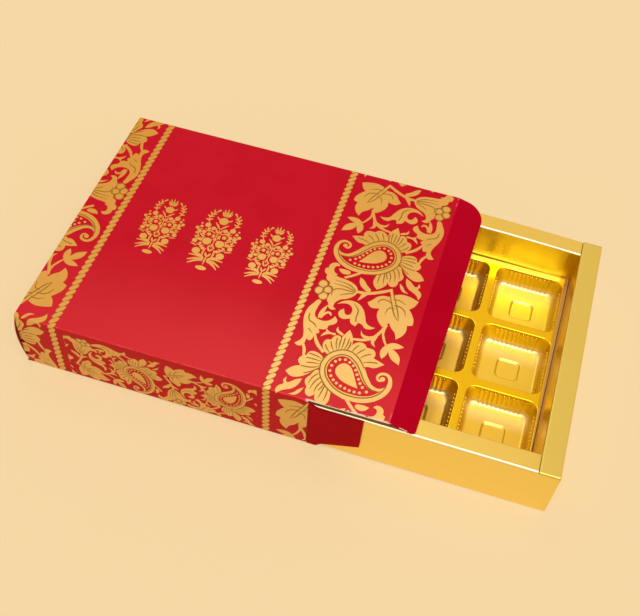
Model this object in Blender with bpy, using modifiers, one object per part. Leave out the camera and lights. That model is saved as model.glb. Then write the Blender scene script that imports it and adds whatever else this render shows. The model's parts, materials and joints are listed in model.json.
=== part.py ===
# Slider chocolate box: a printed carton sleeve with tuck ends, and a gold tray that slides out of it.
# Metres, +Z up. The origin is the centre of the sleeve's underside. The tray slides out towards +X.

import math

import bmesh
import bpy
from mathutils import Matrix, Vector

MM = 0.001

# Sleeve: a flat tube of printed board
SLEEVE_LENGTH = 128.2 * MM
SLEEVE_WIDTH = 130.0 * MM
SLEEVE_HEIGHT = 32.8 * MM
BOARD = 0.5 * MM
SLEEVE_FOLD_RADIUS = 0.9 * MM
GAP = 0.3 * MM
SEAM_FLAP_WIDTH = 14.0 * MM
SEAM_FLAP_END_INSET = 4.0 * MM

# End panels, and the tuck flaps on their far edges
PANEL_SIDE_INSET = 0.4 * MM
CLOSED_PANEL_BOW = 2.4 * MM
TUCK_DEPTH = 13.5 * MM
TUCK_TAPER = 2.3 * MM
TUCK_BIG_CORNER = 8.5 * MM
TUCK_SMALL_CORNER = 2.2 * MM
TUCK_REST_BEND = math.radians(16.0)
TUCKED_LIFT = 0.7 * MM

# Dust flaps: die-cut flaps on the side walls
DUST_DEPTH = 23.1 * MM
DUST_TOP_STEP = 4.1 * MM
DUST_SHOULDER = 4.4 * MM
DUST_HEEL_LENGTH = 4.3 * MM
DUST_HEEL_STEP = 2.4 * MM
DUST_FOOT_RISE = 8.3 * MM
DUST_END_SLANT = 0.4 * MM
DUST_BOW_RAMP = 3.0 * MM
DUST_TUCK_CLEARANCE = 0.5 * MM

# Tray: hollow folded walls round a floor
TRAY_REACH = 101.8 * MM
TRAY_FRONT_CLEARANCE = 0.4 * MM
TRAY_BACK_CLEARANCE = 3.1 * MM
TRAY_END_CLEARANCE = 0.8 * MM
TRAY_HEADROOM = 4.0 * MM
TRAY_RUNNING_GAP = 0.5 * MM
TRAY_FOOT_CLEARANCE = 0.1 * MM
TRAY_BOARD = 0.5 * MM
TRAY_FOLD_RADIUS = 0.6 * MM
END_RIM_WIDTH = 8.9 * MM
SIDE_RIM_WIDTH = 8.5 * MM
CORNER_TAB_END_INSET = 1.0 * MM
BACK_WALL_BOW = 1.6 * MM

# Formed gold sheet that holds the chocolates
SHEET = 0.4 * MM
DECK_HEIGHT = 11.2 * MM
DECK_END_CLEARANCE = 3.4 * MM
DECK_SIDE_CLEARANCE = 0.95 * MM
DECK_END_SHIFT = 0.6 * MM
DECK_SIDE_SHIFT = -0.4 * MM
DECK_END_MARGIN = 0.6 * MM
DECK_SIDE_MARGIN = 2.95 * MM
CAVITIES_EACH_WAY = 3
CAVITY_END_WEB = 4.1 * MM
CAVITY_SIDE_WEB = 4.4 * MM
CAVITY_DRAFT = 1.6 * MM
CAVITY_CORNER_RADIUS = 3.6 * MM
CAVITY_LIP_RADIUS = 0.5 * MM
CAVITY_FLOOR_RADIUS = 2.2 * MM
PAD_WIDTH = 11.0 * MM
PAD_DEPTH = 0.8 * MM
PAD_DRAFT = 1.0 * MM
PAD_INSET = 1.2 * MM
PAD_CORNER_RADIUS = 2.0 * MM

# Facets
FOLD_SEGMENTS = 3
CORNER_SEGMENTS = 4
LIP_SEGMENTS = 2
BOW_CUTS = 9
RAMP_CUTS = 3
MERGE = 0.001 * MM

# Places that follow from the sizes
MOUTH_X = SLEEVE_LENGTH / 2
CLOSED_X = -SLEEVE_LENGTH / 2
SIDE_Y = SLEEVE_WIDTH / 2
UNDER_TOP = SLEEVE_HEIGHT - BOARD
OPEN_PANEL_LENGTH = SLEEVE_HEIGHT + GAP
TUCK_ROOT = GAP + BOARD * math.sin(TUCK_REST_BEND)
CLOSED_TUCK_TOP = BOARD + TUCKED_LIFT + BOARD
CLOSED_DUST_X = CLOSED_X + BOARD + GAP + BOARD
CLOSED_PIVOT_Y = SIDE_Y - BOARD - GAP
WALL_END_X = CLOSED_DUST_X + GAP
TRAY_LENGTH = MOUTH_X - CLOSED_DUST_X - 2 * TRAY_END_CLEARANCE
TRAY_WIDTH = SLEEVE_WIDTH - 2 * BOARD - TRAY_FRONT_CLEARANCE - TRAY_BACK_CLEARANCE
TRAY_HEIGHT = SLEEVE_HEIGHT - 2 * BOARD - TRAY_HEADROOM
TRAY_CENTRE_Y = (TRAY_FRONT_CLEARANCE - TRAY_BACK_CLEARANCE) / 2
TRAY_BASE_Z = BOARD + TRAY_RUNNING_GAP
TRAY_TILT = math.asin((TRAY_BASE_Z - TRAY_FOOT_CLEARANCE) / TRAY_REACH)
TRAY_CENTRE = TRAY_REACH - TRAY_LENGTH / 2
TRAY_FLOOR_TOP = TRAY_BOARD + GAP
RIM_DROP = TRAY_FOLD_RADIUS + GAP
WALL_LAP = TRAY_BOARD + GAP


def clear_scene():
    for thing in list(bpy.data.objects):
        bpy.data.objects.remove(thing, do_unlink=True)


def new_collection(name):
    group = bpy.data.collections.new(name)
    bpy.context.scene.collection.children.link(group)
    return group


def make_material(name, colour, roughness, metallic):
    finish = bpy.data.materials.new(name)
    finish.use_nodes = True
    shader = finish.node_tree.nodes["Principled BSDF"]
    shader.inputs["Base Color"].default_value = (*colour, 1.0)
    shader.inputs["Roughness"].default_value = roughness
    shader.inputs["Metallic"].default_value = metallic
    finish.diffuse_color = (*colour, 1.0)
    return finish


clear_scene()
parts = new_collection("slider_chocolate_box")

printed_red = ((0.58, 0.014, 0.023), 0.42, 0.0)
plain_red = ((0.45, 0.008, 0.018), 0.48, 0.0)
gold_board = ((0.85, 0.55, 0.14), 0.3, 0.75)
gold_sheet = ((0.95, 0.66, 0.05), 0.16, 0.9)


def add_piece(name, bm, finish, location=(0, 0, 0), rotation=(0, 0, 0), parent=None, wall=0):
    """A named object from a bmesh. With a wall, the open surface gets that thickness on its inner side."""
    mesh = bpy.data.meshes.new(name)
    bm.to_mesh(mesh)
    bm.free()
    piece = bpy.data.objects.new(name, mesh)
    parts.objects.link(piece)
    mesh.materials.append(make_material(name, *finish))
    if wall:
        solidify = piece.modifiers.new("Board", "SOLIDIFY")
        solidify.thickness = wall
        solidify.offset = -1.0
        solidify.use_even_offset = True
    piece.parent = parent
    piece.location = location
    piece.rotation_euler = rotation
    return piece


def block(size, centre):
    bm = bmesh.new()
    bmesh.ops.create_cube(bm, size=1.0, matrix=Matrix.Translation(centre) @ Matrix.Diagonal((*size, 1.0)))
    return bm


def faces_facing(bm, direction):
    aim = Vector(direction)
    return [face for face in bm.faces if face.normal.dot(aim) > 0.99]


def open_sides(bm, directions):
    """Takes out the faces that look each of these ways."""
    bm.normal_update()
    gone = [face for direction in directions for face in faces_facing(bm, direction)]
    bmesh.ops.delete(bm, geom=gone, context="FACES")


def edges_where(bm, test):
    return [edge for edge in bm.edges if all(test(vert.co) for vert in edge.verts)]


def round_edges(bm, edges, radius, segments):
    bmesh.ops.bevel(
        bm, geom=edges, offset=radius, offset_type="OFFSET", segments=segments,
        profile=0.5, affect="EDGES", material=-1, clamp_overlap=True,
    )


def near(a, b):
    return abs(a - b) < MERGE


def cut_across(bm, axis, places):
    """Adds edge lines across a mesh at these places along one axis, so that it can bend there."""
    normal = [0, 0, 0]
    normal[axis] = 1
    for place in places:
        point = [0, 0, 0]
        point[axis] = place
        geometry = bm.verts[:] + bm.edges[:] + bm.faces[:]
        bmesh.ops.bisect_plane(bm, geom=geometry, dist=MERGE, plane_co=point, plane_no=normal)


def steps(low, high, count):
    """Evenly spaced values between two ends, without the ends."""
    return [low + (high - low) * (i + 1) / (count + 1) for i in range(count)]


def corner_arc(centre, radius, start, segments=CORNER_SEGMENTS):
    """A quarter circle of points, from the start angle turning left."""
    angles = [start + math.pi / 2 * i / segments for i in range(segments + 1)]
    return [(centre[0] + radius * math.cos(a), centre[1] + radius * math.sin(a)) for a in angles]


def outline_plate(points, thickness, low):
    """A flat plate from a filled 2D outline, as a bmesh: it lies in XY and stands from low upwards."""
    curve = bpy.data.curves.new("outline", "CURVE")
    curve.dimensions = "2D"
    curve.fill_mode = "BOTH"
    curve.extrude = thickness / 2
    line = curve.splines.new("POLY")
    line.points.add(len(points) - 1)
    for point, (x, y) in zip(line.points, points):
        point.co = (x, y, 0, 1)
    line.use_cyclic_u = True
    outline = bpy.data.objects.new("outline", curve)
    parts.objects.link(outline)
    evaluated = outline.evaluated_get(bpy.context.evaluated_depsgraph_get())
    mesh = bpy.data.meshes.new_from_object(evaluated)
    bm = bmesh.new()
    bm.from_mesh(mesh)
    bpy.data.objects.remove(outline, do_unlink=True)
    bpy.data.curves.remove(curve)
    bpy.data.meshes.remove(mesh)
    bmesh.ops.remove_doubles(bm, verts=bm.verts[:], dist=MERGE)
    bmesh.ops.dissolve_limit(
        bm, angle_limit=math.radians(1.0), use_dissolve_boundaries=False,
        verts=bm.verts[:], edges=bm.edges[:],
    )
    bmesh.ops.recalc_face_normals(bm, faces=bm.faces[:])
    bmesh.ops.translate(bm, verts=bm.verts[:], vec=(0, 0, low + thickness / 2))
    return bm


def end_bow(height):
    """How far the closed end is pushed out at this height above the table."""
    return CLOSED_PANEL_BOW * math.sin(math.pi * height / SLEEVE_HEIGHT)


# Sleeve tube

def sleeve_shell():
    size = (SLEEVE_LENGTH, SLEEVE_WIDTH, SLEEVE_HEIGHT)
    bm = block(size, (0, 0, SLEEVE_HEIGHT / 2))
    open_sides(bm, [(1, 0, 0), (-1, 0, 0)])
    long_edges = [edge for edge in bm.edges if not near(edge.verts[0].co.x, edge.verts[1].co.x)]
    round_edges(bm, long_edges, SLEEVE_FOLD_RADIUS, FOLD_SEGMENTS)
    # the side walls stop short of the closed end, where the dust flaps turn in
    cut_across(bm, 0, [WALL_END_X])
    bm.normal_update()
    wall_ends = [
        face for face in bm.faces
        if abs(face.normal.y) > 0.99 and face.calc_center_median().x < WALL_END_X
    ]
    bmesh.ops.delete(bm, geom=wall_ends, context="FACES")
    return add_piece("sleeve_shell", bm, printed_red, wall=BOARD)


def sleeve_seam_flap():
    """The glued flap that closes the tube, inside along the back of the top panel."""
    length = SLEEVE_LENGTH - 2 * SEAM_FLAP_END_INSET
    low_y = SIDE_Y - BOARD - GAP - SEAM_FLAP_WIDTH
    centre = (0, low_y + SEAM_FLAP_WIDTH / 2, UNDER_TOP - GAP - BOARD / 2)
    bm = block((length, SEAM_FLAP_WIDTH, BOARD), centre)
    return add_piece("sleeve_seam_flap", bm, plain_red)


# End panels, which swing on the top panel's creases

def open_end_panel():
    length = OPEN_PANEL_LENGTH - GAP
    width = SLEEVE_WIDTH - 2 * PANEL_SIDE_INSET
    bm = block((length, width, BOARD), (GAP + length / 2, 0, -BOARD / 2))
    return add_piece("right_end_panel", bm, printed_red, location=(MOUTH_X, 0, SLEEVE_HEIGHT))


def closed_end_panel():
    """The closed end's panel, bowed outwards between its creases. Its origin is the top crease."""
    top = UNDER_TOP - GAP
    low = CLOSED_TUCK_TOP + GAP
    width = 2 * CLOSED_PIVOT_Y
    centre = (BOARD / 2, 0, (top + low) / 2 - SLEEVE_HEIGHT)
    bm = block((BOARD, width, top - low), centre)
    cut_across(bm, 2, [z - SLEEVE_HEIGHT for z in steps(low, top, BOW_CUTS)])
    for vert in bm.verts:
        vert.co.x -= end_bow(vert.co.z + SLEEVE_HEIGHT)
    return add_piece("left_end_panel", bm, printed_red, location=(CLOSED_X, 0, SLEEVE_HEIGHT))


# Tuck flaps, which swing on the end panels' far creases

def tuck_outline(root, half, front_corner, front_depth):
    """The flap in its own plane: x from its crease, y across the box, with a big corner at the back."""
    front = corner_arc((front_depth - front_corner, -half + front_corner), front_corner, -math.pi / 2)
    back = corner_arc((TUCK_DEPTH - TUCK_BIG_CORNER, half - TUCK_BIG_CORNER), TUCK_BIG_CORNER, 0)
    return [(root, -half)] + front + back + [(root, half)]


def open_tuck_flap(panel):
    half = SIDE_Y - PANEL_SIDE_INSET
    points = tuck_outline(TUCK_ROOT, half, TUCK_SMALL_CORNER, TUCK_DEPTH - TUCK_TAPER)
    bm = outline_plate(points, BOARD, -BOARD)
    crease = (OPEN_PANEL_LENGTH, 0, 0)
    bend = (0, TUCK_REST_BEND, 0)
    return add_piece("right_tuck_flap", bm, plain_red, location=crease, rotation=bend, parent=panel)


def closed_tuck_flap(panel):
    """Tucked in just above the bottom panel. Its origin is the inner corner of the lower crease."""
    points = tuck_outline(-BOARD, CLOSED_PIVOT_Y, TUCK_BIG_CORNER, TUCK_DEPTH)
    bm = outline_plate(points, BOARD, -BOARD)
    crease = (BOARD, 0, CLOSED_TUCK_TOP - SLEEVE_HEIGHT)
    return add_piece("left_tuck_flap", bm, plain_red, location=crease, parent=panel)


# Dust flaps, which swing on the side walls' upright creases

def dust_outline(root, heel):
    """The flap seen from outside: x from its crease, y is the height above the table."""
    straight_top = SLEEVE_HEIGHT - DUST_TOP_STEP
    root_top = UNDER_TOP - BOARD
    foot = heel + DUST_HEEL_STEP
    return [
        (root, heel),
        (DUST_HEEL_LENGTH, heel),
        (DUST_HEEL_LENGTH + DUST_HEEL_STEP, foot),
        (DUST_DEPTH - DUST_END_SLANT, DUST_FOOT_RISE + DUST_END_SLANT),
        (DUST_DEPTH, straight_top),
        (DUST_SHOULDER, straight_top),
        (DUST_SHOULDER / 2, (straight_top + root_top) / 2),
        (root, root_top),
    ]


def dust_flap(name, side, location, turn, root, heel, bowed):
    """side is 1 for a front flap and -1 for a back one, whose thickness lies on the other face."""
    low = -BOARD if side > 0 else 0
    bm = outline_plate(dust_outline(root, heel), BOARD, low)
    bmesh.ops.rotate(bm, verts=bm.verts[:], cent=(0, 0, 0), matrix=Matrix.Rotation(math.pi / 2, 3, "X"))
    if bowed:
        cut_across(bm, 2, steps(0, SLEEVE_HEIGHT, BOW_CUTS))
        cut_across(bm, 0, steps(0, DUST_BOW_RAMP, RAMP_CUTS) + [DUST_BOW_RAMP])
        for vert in bm.verts:
            share = min(max(vert.co.x / DUST_BOW_RAMP, 0), 1)
            vert.co.y += side * end_bow(vert.co.z) * math.sin(share * math.pi / 2)
    return add_piece(name, bm, plain_red, location=location, rotation=(0, 0, turn))


def dust_flaps():
    for name, side in (("front", 1), ("back", -1)):
        mouth = (MOUTH_X, -side * SIDE_Y, 0)
        dust_flap("right_" + name + "_dust_flap", side, mouth, 0, GAP, GAP, False)
        closed = (CLOSED_DUST_X, -side * CLOSED_PIVOT_Y, 0)
        turn = side * math.pi / 2
        heel = CLOSED_TUCK_TOP + DUST_TUCK_CLEARANCE
        dust_flap("left_" + name + "_dust_flap", side, closed, turn, -BOARD, heel, True)


# Tray

def hollow_wall(name, length, rim, lap_sides, place, turn, runner, bow=0):
    """One folded wall: outer wall, rim and inner wall. Its length runs along X and its rim towards +Y.

    With lap_sides the outer wall runs on past the rim at both ends, under the neighbours' rims.
    Otherwise the rim runs on at both ends, over the neighbours' outer walls. A bow pushes the middle outwards.
    """
    bm = block((length, rim, TRAY_HEIGHT), (0, rim / 2, TRAY_HEIGHT / 2))
    open_sides(bm, [(1, 0, 0), (-1, 0, 0), (0, 0, -1)])
    for vert in bm.verts:
        if near(vert.co.z, 0) and near(vert.co.y, rim):
            vert.co.z = TRAY_FLOOR_TOP
    crests = edges_where(bm, lambda co: near(co.z, TRAY_HEIGHT))
    crests = [edge for edge in crests if near(edge.verts[0].co.y, edge.verts[1].co.y)]
    round_edges(bm, crests, TRAY_FOLD_RADIUS, FOLD_SEGMENTS)
    if lap_sides:
        reach = END_RIM_WIDTH + GAP
        cut_across(bm, 2, [TRAY_HEIGHT - RIM_DROP])
        low = lambda co: near(co.y, 0) and co.z < TRAY_HEIGHT - RIM_DROP + MERGE
        ends = [e for e in edges_where(bm, low) if e.is_boundary and near(e.verts[0].co.x, e.verts[1].co.x)]
    else:
        reach = WALL_LAP
        high = lambda co: co.z > TRAY_HEIGHT - TRAY_FOLD_RADIUS - MERGE
        ends = [e for e in edges_where(bm, high) if e.is_boundary and near(e.verts[0].co.x, e.verts[1].co.x)]
    grown = bmesh.ops.extrude_edge_only(bm, edges=ends)["geom"]
    for vert in grown:
        if isinstance(vert, bmesh.types.BMVert):
            vert.co.x += math.copysign(reach, vert.co.x)
    if bow:
        cut_across(bm, 0, steps(-length / 2, length / 2, BOW_CUTS))
        for vert in bm.verts:
            share = min(max(vert.co.x / length + 0.5, 0), 1)
            vert.co.y -= bow * math.sin(math.pi * share)
    bmesh.ops.recalc_face_normals(bm, faces=bm.faces[:])
    bm.normal_update()
    if not any(near(face.calc_center_median().z, TRAY_HEIGHT) and face.normal.z > 0 for face in bm.faces):
        bmesh.ops.reverse_faces(bm, faces=bm.faces[:])
    wall_turn = (0, 0, turn)
    return add_piece(name, bm, gold_board, location=place, rotation=wall_turn, parent=runner, wall=TRAY_BOARD)


def tray_walls(runner):
    half_length = TRAY_LENGTH / 2
    half_width = TRAY_WIDTH / 2
    side_length = TRAY_LENGTH - 2 * (END_RIM_WIDTH + GAP)
    end_length = TRAY_WIDTH - 2 * WALL_LAP
    front = (TRAY_CENTRE, -half_width, 0)
    back = (TRAY_CENTRE, half_width, 0)
    right = (TRAY_CENTRE + half_length, 0, 0)
    left = (TRAY_CENTRE - half_length, 0, 0)
    hollow_wall("tray_front_wall", side_length, SIDE_RIM_WIDTH, True, front, 0, runner)
    hollow_wall("tray_back_wall", side_length, SIDE_RIM_WIDTH, True, back, math.pi, runner, BACK_WALL_BOW)
    hollow_wall("tray_right_wall", end_length, END_RIM_WIDTH, False, right, math.pi / 2, runner)
    hollow_wall("tray_left_wall", end_length, END_RIM_WIDTH, False, left, -math.pi / 2, runner)


def tray_floor(runner):
    length = TRAY_LENGTH - 2 * WALL_LAP
    width = TRAY_WIDTH - 2 * WALL_LAP
    bm = block((length, width, TRAY_BOARD), (TRAY_CENTRE, 0, TRAY_BOARD / 2))
    add_piece("tray_floor", bm, gold_board, parent=runner)


def corner_tabs(runner):
    """Tabs folded in from the front and back walls and glued inside the end walls."""
    low = TRAY_FLOOR_TOP
    high = TRAY_HEIGHT - RIM_DROP - CORNER_TAB_END_INSET
    width = SIDE_RIM_WIDTH - WALL_LAP - CORNER_TAB_END_INSET
    for end, end_sign in (("right", 1), ("left", -1)):
        for side, side_sign in (("back", 1), ("front", -1)):
            x = TRAY_CENTRE + end_sign * (TRAY_LENGTH / 2 - WALL_LAP - TRAY_BOARD / 2)
            y = side_sign * (TRAY_WIDTH / 2 - WALL_LAP - width / 2)
            bm = block((TRAY_BOARD, width, high - low), (x, y, (high + low) / 2))
            add_piece("tray_" + side + "_" + end + "_corner_tab", bm, gold_board, parent=runner)


# Formed insert

def fit_face(bm, face, centre, length, width):
    """Brings a level face to this centre, length along X and width along Y."""
    spans = [max(v.co[axis] for v in face.verts) - min(v.co[axis] for v in face.verts) for axis in (0, 1)]
    bmesh.ops.translate(bm, verts=face.verts[:], vec=centre - face.calc_center_bounds())
    grow = Vector((length / spans[0], width / spans[1], 1.0))
    bmesh.ops.scale(bm, verts=face.verts[:], vec=grow, space=Matrix.Translation(-centre))


def face_at(bm, centre):
    return min(bm.faces, key=lambda face: (face.calc_center_bounds() - centre).length)


def floor_pads(bm, centres):
    """Sinks a shallow square recess with rounded corners into the floor at each of these centres."""
    floors = [face_at(bm, centre) for centre in centres]
    bmesh.ops.inset_individual(bm, faces=floors, thickness=PAD_INSET)
    # the floor's corner arcs give way to plain corners
    arcs = [edge for face in floors for edge in face.edges if edge.calc_length() < PAD_INSET]
    bmesh.ops.collapse(bm, edges=arcs)
    pads = [face_at(bm, centre) for centre in centres]
    for face, centre in zip(pads, centres):
        fit_face(bm, face, centre, PAD_WIDTH, PAD_WIDTH)
    bmesh.ops.inset_individual(bm, faces=pads, thickness=PAD_DRAFT, depth=-PAD_DEPTH)
    sunk = {vert for face in pads for vert in face.verts}
    corners = [edge for vert in sunk for edge in vert.link_edges if not all(v in sunk for v in edge.verts)]
    round_edges(bm, corners, PAD_CORNER_RADIUS, LIP_SEGMENTS)


def insert_tray(runner):
    """Three by three square cavities with a shallow recess in each floor, a deck between them and a skirt."""
    deck_length = TRAY_LENGTH - 2 * END_RIM_WIDTH - 2 * DECK_END_CLEARANCE
    deck_width = TRAY_WIDTH - 2 * SIDE_RIM_WIDTH - 2 * DECK_SIDE_CLEARANCE
    count = CAVITIES_EACH_WAY
    field_length = deck_length - 2 * DECK_END_MARGIN + CAVITY_END_WEB
    field_width = deck_width - 2 * DECK_SIDE_MARGIN + CAVITY_SIDE_WEB
    cavity_length = field_length / count - CAVITY_END_WEB
    cavity_width = field_width / count - CAVITY_SIDE_WEB
    cavity_depth = DECK_HEIGHT - TRAY_FLOOR_TOP - SHEET - PAD_DEPTH
    skirt = DECK_HEIGHT - TRAY_FLOOR_TOP
    centre = Vector((TRAY_CENTRE + DECK_END_SHIFT, DECK_SIDE_SHIFT, DECK_HEIGHT))
    bm = bmesh.new()
    place = Matrix.Translation(centre)
    spread = Matrix.Diagonal((field_length / 2, field_width / 2, 1.0, 1.0))
    bmesh.ops.create_grid(bm, x_segments=count, y_segments=count, size=1.0, matrix=place @ spread)
    cells = {face: face.calc_center_bounds() for face in bm.faces}
    # the deck's outer edge, and the skirt below it
    for vert in bm.verts:
        across = vert.co - centre
        if near(abs(across.x), field_length / 2):
            vert.co.x = centre.x + math.copysign(deck_length / 2, across.x)
        if near(abs(across.y), field_width / 2):
            vert.co.y = centre.y + math.copysign(deck_width / 2, across.y)
    rim = [edge for edge in bm.edges if edge.is_boundary]
    hem = bmesh.ops.extrude_edge_only(bm, edges=rim)["geom"]
    lowest = [vert for vert in hem if isinstance(vert, bmesh.types.BMVert)]
    bmesh.ops.translate(bm, verts=lowest, vec=(0, 0, -skirt))
    bmesh.ops.recalc_face_normals(bm, faces=bm.faces[:])
    bm.normal_update()
    if next(iter(cells)).normal.z < 0:
        bmesh.ops.reverse_faces(bm, faces=bm.faces[:])
    # the webs stay level between the cavities, which sink with a little draft
    bmesh.ops.inset_individual(bm, faces=list(cells), thickness=DECK_END_MARGIN)
    for face, middle in cells.items():
        fit_face(bm, face, middle, cavity_length, cavity_width)
    bmesh.ops.inset_individual(bm, faces=list(cells), thickness=CAVITY_DRAFT, depth=-cavity_depth)
    low = DECK_HEIGHT - cavity_depth
    steep = [
        edge for edge in bm.edges
        if near(max(v.co.z for v in edge.verts), DECK_HEIGHT) and near(min(v.co.z for v in edge.verts), low)
    ]
    round_edges(bm, steep, CAVITY_CORNER_RADIUS, CORNER_SEGMENTS)
    floors = [face for face in bm.faces if near(face.calc_center_median().z, low) and abs(face.normal.z) > 0.9]
    floor_rims = list({edge for face in floors for edge in face.edges})
    round_edges(bm, floor_rims, CAVITY_FLOOR_RADIUS, LIP_SEGMENTS)
    walls = [face for face in bm.faces if face.calc_center_median().z < DECK_HEIGHT - MERGE]
    lips = list({
        edge for face in walls for edge in face.edges
        if all(near(v.co.z, DECK_HEIGHT) for v in edge.verts)
    })
    round_edges(bm, lips, CAVITY_LIP_RADIUS, LIP_SEGMENTS)
    floor_pads(bm, [middle.xy.to_3d() + Vector((0, 0, low)) for middle in cells.values()])
    return add_piece("insert_tray", bm, gold_sheet, parent=runner, wall=SHEET)


def tray():
    """The runner stands at the sleeve's mouth, dipped until the tray's far end nearly meets the table."""
    runner = bpy.data.objects.new("tray_runner", None)
    parts.objects.link(runner)
    runner.location = (MOUTH_X, TRAY_CENTRE_Y, TRAY_BASE_Z)
    runner.rotation_euler = (0, TRAY_TILT, 0)
    tray_floor(runner)
    tray_walls(runner)
    corner_tabs(runner)
    insert_tray(runner)


sleeve_shell()
sleeve_seam_flap()
open_tuck_flap(open_end_panel())
closed_tuck_flap(closed_end_panel())
dust_flaps()
tray()
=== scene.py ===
import json
import math

import bmesh
import bpy
from mathutils import Matrix, Vector


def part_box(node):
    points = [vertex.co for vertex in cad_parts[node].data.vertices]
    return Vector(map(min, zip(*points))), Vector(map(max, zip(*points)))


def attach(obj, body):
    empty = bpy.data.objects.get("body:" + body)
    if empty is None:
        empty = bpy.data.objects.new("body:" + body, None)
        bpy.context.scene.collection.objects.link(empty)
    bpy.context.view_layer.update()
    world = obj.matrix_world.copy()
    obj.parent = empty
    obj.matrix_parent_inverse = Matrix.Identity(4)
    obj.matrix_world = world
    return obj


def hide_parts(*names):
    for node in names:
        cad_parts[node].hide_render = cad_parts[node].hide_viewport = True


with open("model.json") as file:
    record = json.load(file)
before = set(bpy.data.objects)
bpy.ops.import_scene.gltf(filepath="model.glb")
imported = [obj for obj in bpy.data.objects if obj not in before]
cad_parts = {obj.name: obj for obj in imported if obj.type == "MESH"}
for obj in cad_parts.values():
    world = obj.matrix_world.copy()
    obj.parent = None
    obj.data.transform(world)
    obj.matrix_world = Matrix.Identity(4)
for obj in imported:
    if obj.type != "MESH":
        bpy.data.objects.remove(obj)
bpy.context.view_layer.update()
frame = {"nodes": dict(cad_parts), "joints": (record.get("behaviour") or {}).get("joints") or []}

# A slider chocolate box: printed sleeve, gold tray and fluted insert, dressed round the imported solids.
# Everything is in metres in the frame of the solids; the print is drawn in millimetres.

mm = 0.001
scene = bpy.context.scene
scene.view_settings.view_transform = "Standard"


def srgb(red, green, blue):
    # a colour as read on screen, made linear for the shaders
    return tuple((part / 255) ** 2.2 for part in (red, green, blue)) + (1.0,)


def darker(colour, share):
    return tuple(part * share for part in colour[:3]) + (1.0,)


# Shader maths

class Wire:
    # one node output; arithmetic on wires and numbers adds Math nodes
    def __init__(self, shading, socket):
        self.shading = shading
        self.socket = socket

    def __add__(self, other):
        return self.shading.math("ADD", self, other)

    def __sub__(self, other):
        return self.shading.math("SUBTRACT", self, other)

    def __rsub__(self, other):
        return self.shading.math("SUBTRACT", other, self)

    def __mul__(self, other):
        return self.shading.math("MULTIPLY", self, other)

    __radd__ = __add__
    __rmul__ = __mul__


class Shading:
    # makes the nodes of one tree
    def __init__(self, tree):
        self.tree = tree

    def node(self, kind, settings=None, inputs=None, output=0):
        made = self.tree.nodes.new(kind)
        for key, value in (settings or {}).items():
            setattr(made, key, value)
        for key, value in (inputs or {}).items():
            self.feed(made.inputs[key], value)
        return Wire(self, made.outputs[output])

    def feed(self, socket, value):
        if isinstance(value, Wire):
            self.tree.links.new(value.socket, socket)
        else:
            socket.default_value = value

    def math(self, operation, *values):
        return self.node("ShaderNodeMath", {"operation": operation}, dict(enumerate(values)))

    def backgroundRays(self):
        # 1 for what the camera, gloss and glass see
        kinds = ("Is Camera Ray", "Is Glossy Ray", "Is Transmission Ray")
        camera, gloss, glass = [self.node("ShaderNodeLightPath", output=kind) for kind in kinds]
        return self.math("MAXIMUM", self.math("MAXIMUM", camera, gloss), glass)


class Finish(Shading):
    # a material built round its Principled shader
    def __init__(self, name, **fixed):
        self.material = bpy.data.materials.new(name)
        self.material.use_nodes = True
        super().__init__(self.material.node_tree)
        self.shader = self.tree.nodes["Principled BSDF"]
        self.place = self.node("ShaderNodeTexCoord", output="Object")
        for socket, value in fixed.items():
            self.shader.inputs[socket.replace("_", " ")].default_value = value

    def set(self, socket, value):
        self.feed(self.shader.inputs[socket], value)

    def axis(self, letter):
        return self.node("ShaderNodeSeparateXYZ", None, {0: self.place}, output=letter)

    def offCentre(self):
        # distance from the box's long middle plane
        return self.math("ABSOLUTE", self.axis("Y"))

    def noise(self, scale, detail, stretch=(1, 1, 1)):
        spread = self.node("ShaderNodeVectorMath", {"operation": "MULTIPLY"}, {0: self.place, 1: stretch})
        return self.node("ShaderNodeTexNoise", None, {"Vector": spread, "Scale": scale, "Detail": detail})

    def ramp(self, value, low, high):
        # 0 at low, 1 at high, smooth between
        settings = {"interpolation_type": "SMOOTHSTEP", "clamp": True}
        inputs = {"Value": value, "From Min": low, "From Max": high}
        return self.node("ShaderNodeMapRange", settings, inputs)

    def mix(self, mask, low, high):
        return self.node("ShaderNodeMix", {"data_type": "RGBA"}, {0: mask, 6: low, 7: high}, output=2)

    def bump(self, height, distance, strength):
        inputs = {"Height": height, "Distance": distance, "Strength": strength}
        self.set("Normal", self.node("ShaderNodeBump", None, inputs))


# Sizes read from the solids
joints = {joint["name"]: joint for joint in frame["joints"]}
shellLow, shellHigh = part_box("sleeve_shell")
closedX, mouthX = shellLow.x, shellHigh.x
sideY, topZ = shellHigh.y, shellHigh.z
tuckCrease = joints["right_tuck_flap_hinge"]["pos_m"][0]

# Board of the sleeve and its finishes

# the side red, the shaded red and the dust flaps' reds are painted shade; the pale red is a painted sheen
sleeveLook = {
    "red": srgb(201, 16, 38), "deepRed": srgb(196, 12, 34), "paleRed": srgb(219, 50, 55),
    "sideRed": srgb(184, 10, 26), "flapRed": srgb(185, 3, 38), "flapDeepRed": srgb(179, 2, 34),
    "dustRed": srgb(168, 2, 27), "dustDeepRed": srgb(160, 2, 22), "worn": srgb(232, 104, 96),
    "shaded": srgb(170, 38, 28), "chipped": srgb(255, 208, 190), "back": srgb(182, 162, 136),
    "core": srgb(255, 248, 236), "printGloss": 0.08, "plainGloss": 0.02, "roughness": 0.26,
    "paperRoughness": 0.65, "fold": 0.9 * mm, "foldSteps": 6, "board": 0.5 * mm, "wornWidth": 0.7 * mm,
    "chipReach": 0.9, "flapChipReach": 0.5, "inkChipReach": 1.1,
}


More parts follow.
